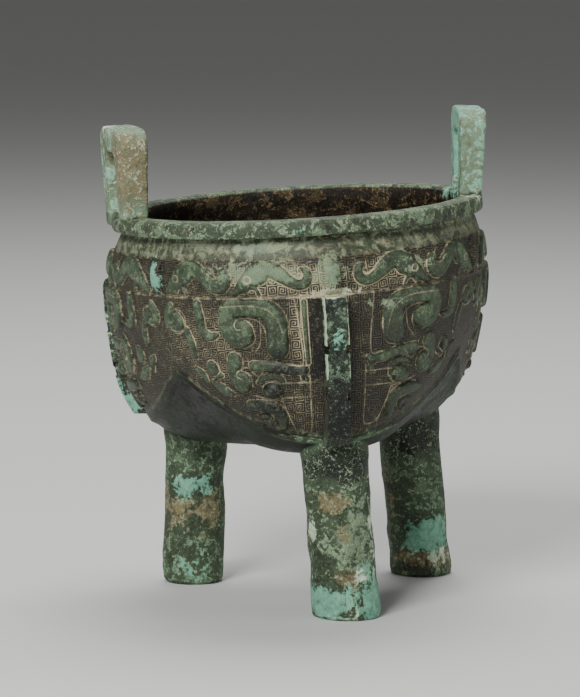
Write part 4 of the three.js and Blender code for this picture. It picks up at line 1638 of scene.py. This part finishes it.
# ---- The casting --------------------------------------------------------------------------
@dataclass
class Casting:
    """The whole vessel, joined into the one piece that it was cast as."""

    stance: Stance
    wall: Wall = field(default_factory=Wall)
    rim: Rim = field(default_factory=Rim)
    mask: Mask = field(default_factory=Mask)
    legs: tuple[Leg, ...] = (
        Leg(-90, 13.8, 0.7, 56.5, seed=11),
        Leg(30, 13.4, 0.3, 57.4, seed=12),
        Leg(150, 13.2, 0.1, 53.5, seed=13),
    )
    handles: tuple[Handle, ...] = (
        Handle(-1, 37.5, 11.0, 14.0, 0.8, 2.4, -1.0, seed=21),
        Handle(1, 36.0, 9.3, 12.0, 0.0, -7.5, 4.6, seed=22),
    )
    flange_bottoms: tuple[float, float, float] = (75.0, 77.0, 78.5)
    notches: tuple[tuple[float, float], ...] = ((117.0, 3.6), (98.5, 6.0))

    def flanges(self) -> list[Flange]:
        """Three long flanges, and the six short ones that part the dragons."""
        made = []
        for number, leg in enumerate(self.wall.legs):
            middle = leg + self.wall.slips[number]
            bottom = self.flange_bottoms[number]
            made += [
                Flange(middle, bottom, 138.6, 9.6, 7.1, 8.5, 31 + number, notches=self.notches),
                Flange(middle, 139.4, 156.0, 6.4, 3.6, 3.6, 41 + number, 1.2, rounded=True),
                Flange(leg + 180, 140.0, 154.0, 5.2, 2.3, 2.3, 51 + number, 1.0, rounded=True),
            ]
        return made

    def build(self) -> bpy.types.Object:
        """Joins every part of the casting and cuts its hollow."""
        vessel, hollow = Bowl(self.stance, self.wall, self.rim, self.mask).build()
        for leg in self.legs:
            combine(vessel, leg.build(self.stance), "UNION")
        for flange in self.flanges():
            combine(vessel, flange.build(self.stance, self.wall), "UNION")
        combine(vessel, hollow, "DIFFERENCE")
        for handle in self.handles:
            combine(vessel, handle.build(self.stance, self.rim), "UNION")
        low, high = (np.array(corner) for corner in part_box(NODE))
        set_vertex_places(vessel, np.clip(vertex_places(vessel), low, high))
        mesh = vessel.data
        LOG.info("casting: %d vertices, %d faces", len(mesh.vertices), len(mesh.polygons))
        return vessel

    def dress(self, vessel: bpy.types.Object) -> None:
        """Gives the casting its stored fields, its finish and its smooth shading."""
        BurialAndHighlights(self.stance, self.wall, self.rim, self.mask).store(vessel)
        vessel.data.materials.clear()
        vessel.data.materials.append(BronzePatina().build())
        select_only(vessel)
        bpy.ops.object.shade_smooth_by_angle(angle=math.radians(SMOOTH_ANGLE))
        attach(vessel, "root")
        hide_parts(NODE)


# ---- Studio -------------------------------------------------------------------------------
@dataclass(frozen=True)
class Studio:
    """The floor, the lights and the camera.

    Attributes:
        stance: Where the casting stands.
        azimuth: Degrees that the camera stands to the right of the front, negative to the left.
        elevation: Degrees that it looks down.
        distance: From the camera to its target, in millimetres.
        target: Where it looks, in millimetres from the casting's axis.
        lens: Its focal length in millimetres.
        floor_size: Width of the floor in metres.
        lamps: Name, place, size and power of each light.
    """

    stance: Stance
    azimuth: float = -10.27
    elevation: float = 7.18
    distance: float = 1569.3
    target: tuple[float, float, float] = (-12.1, 2.2, 105.9)
    lens: float = 186.8
    floor_size: float = 60.0
    lamps: tuple[tuple[str, tuple[float, float, float], float, float], ...] = (
        ("key", (-0.9, -1.2, 1.2), 0.7, 40),
        ("fill", (1.5, -0.7, 0.4), 0.8, 6),
        ("top", (0.2, 0.6, 1.6), 1.0, 26),
    )

    def floor(self) -> None:
        """A plain pale floor."""
        bpy.ops.object.select_all(action="DESELECT")
        bpy.ops.mesh.primitive_plane_add(size=self.floor_size, location=(0, 0, 0))
        floor = bpy.context.object
        floor.name = "floor"
        graph = Graph("floor")
        colour = linear(200, 200, 198)
        shader = graph.node("ShaderNodeBsdfPrincipled", {}, {"Base Color": colour, "Roughness": 0.8})
        graph.node("ShaderNodeOutputMaterial", {}, {"Surface": shader.outputs[0]})
        floor.data.materials.append(graph.material)

    def light(self, name: str, place: tuple[float, float, float], size: float, power: float) -> None:
        """A soft square light that faces the vessel."""
        data = bpy.data.lights.new(name, "AREA")
        data.shape, data.size, data.energy = "SQUARE", size, power
        lamp = bpy.data.objects.new(name, data)
        lamp.location = place
        lamp.rotation_euler = (Vector((0, 0, 0.1)) - Vector(place)).to_track_quat("-Z", "Y").to_euler()
        bpy.context.scene.collection.objects.link(lamp)

    def lights(self) -> None:
        """A large soft key from the upper left, a weak fill and a soft top light."""
        for lamp in self.lamps:
            self.light(*lamp)
        world = bpy.data.worlds.new("studio")
        world.use_nodes = True
        background = world.node_tree.nodes["Background"].inputs
        background["Color"].default_value = linear(190, 190, 190)
        background["Strength"].default_value = 0.3
        bpy.context.scene.world = world

    def camera(self) -> None:
        """The camera, a little left of the front leg and a little over the rim."""
        a, e = math.radians(self.azimuth), math.radians(self.elevation)
        back = Vector((math.sin(a) * math.cos(e), -math.cos(a) * math.cos(e), math.sin(e)))
        target = (Vector(self.target) + Vector((*self.stance.axis, 0))) * MM
        data = bpy.data.cameras.new("camera")
        data.lens, data.sensor_width, data.clip_end = self.lens, 36.0, 50.0
        camera = bpy.data.objects.new("camera", data)
        camera.location = target + back * self.distance * MM
        camera.rotation_euler = (-back).to_track_quat("-Z", "Y").to_euler()
        bpy.context.scene.collection.objects.link(camera)
        bpy.context.scene.camera = camera

    def build(self) -> None:
        """Sets up the floor, the lights and the camera."""
        self.floor()
        self.lights()
        self.camera()


def main() -> None:
    """Builds the vessel and the studio."""
    logging.basicConfig(level=logging.INFO, format="%(name)s: %(message)s")
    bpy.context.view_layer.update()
    stance = Stance.over_feet(frame["record"]["mounts"], foot_shift=0.9)
    casting = Casting(stance)
    vessel = casting.build()
    casting.dress(vessel)
    Studio(stance).build()


if __name__ == "__main__":
    main()
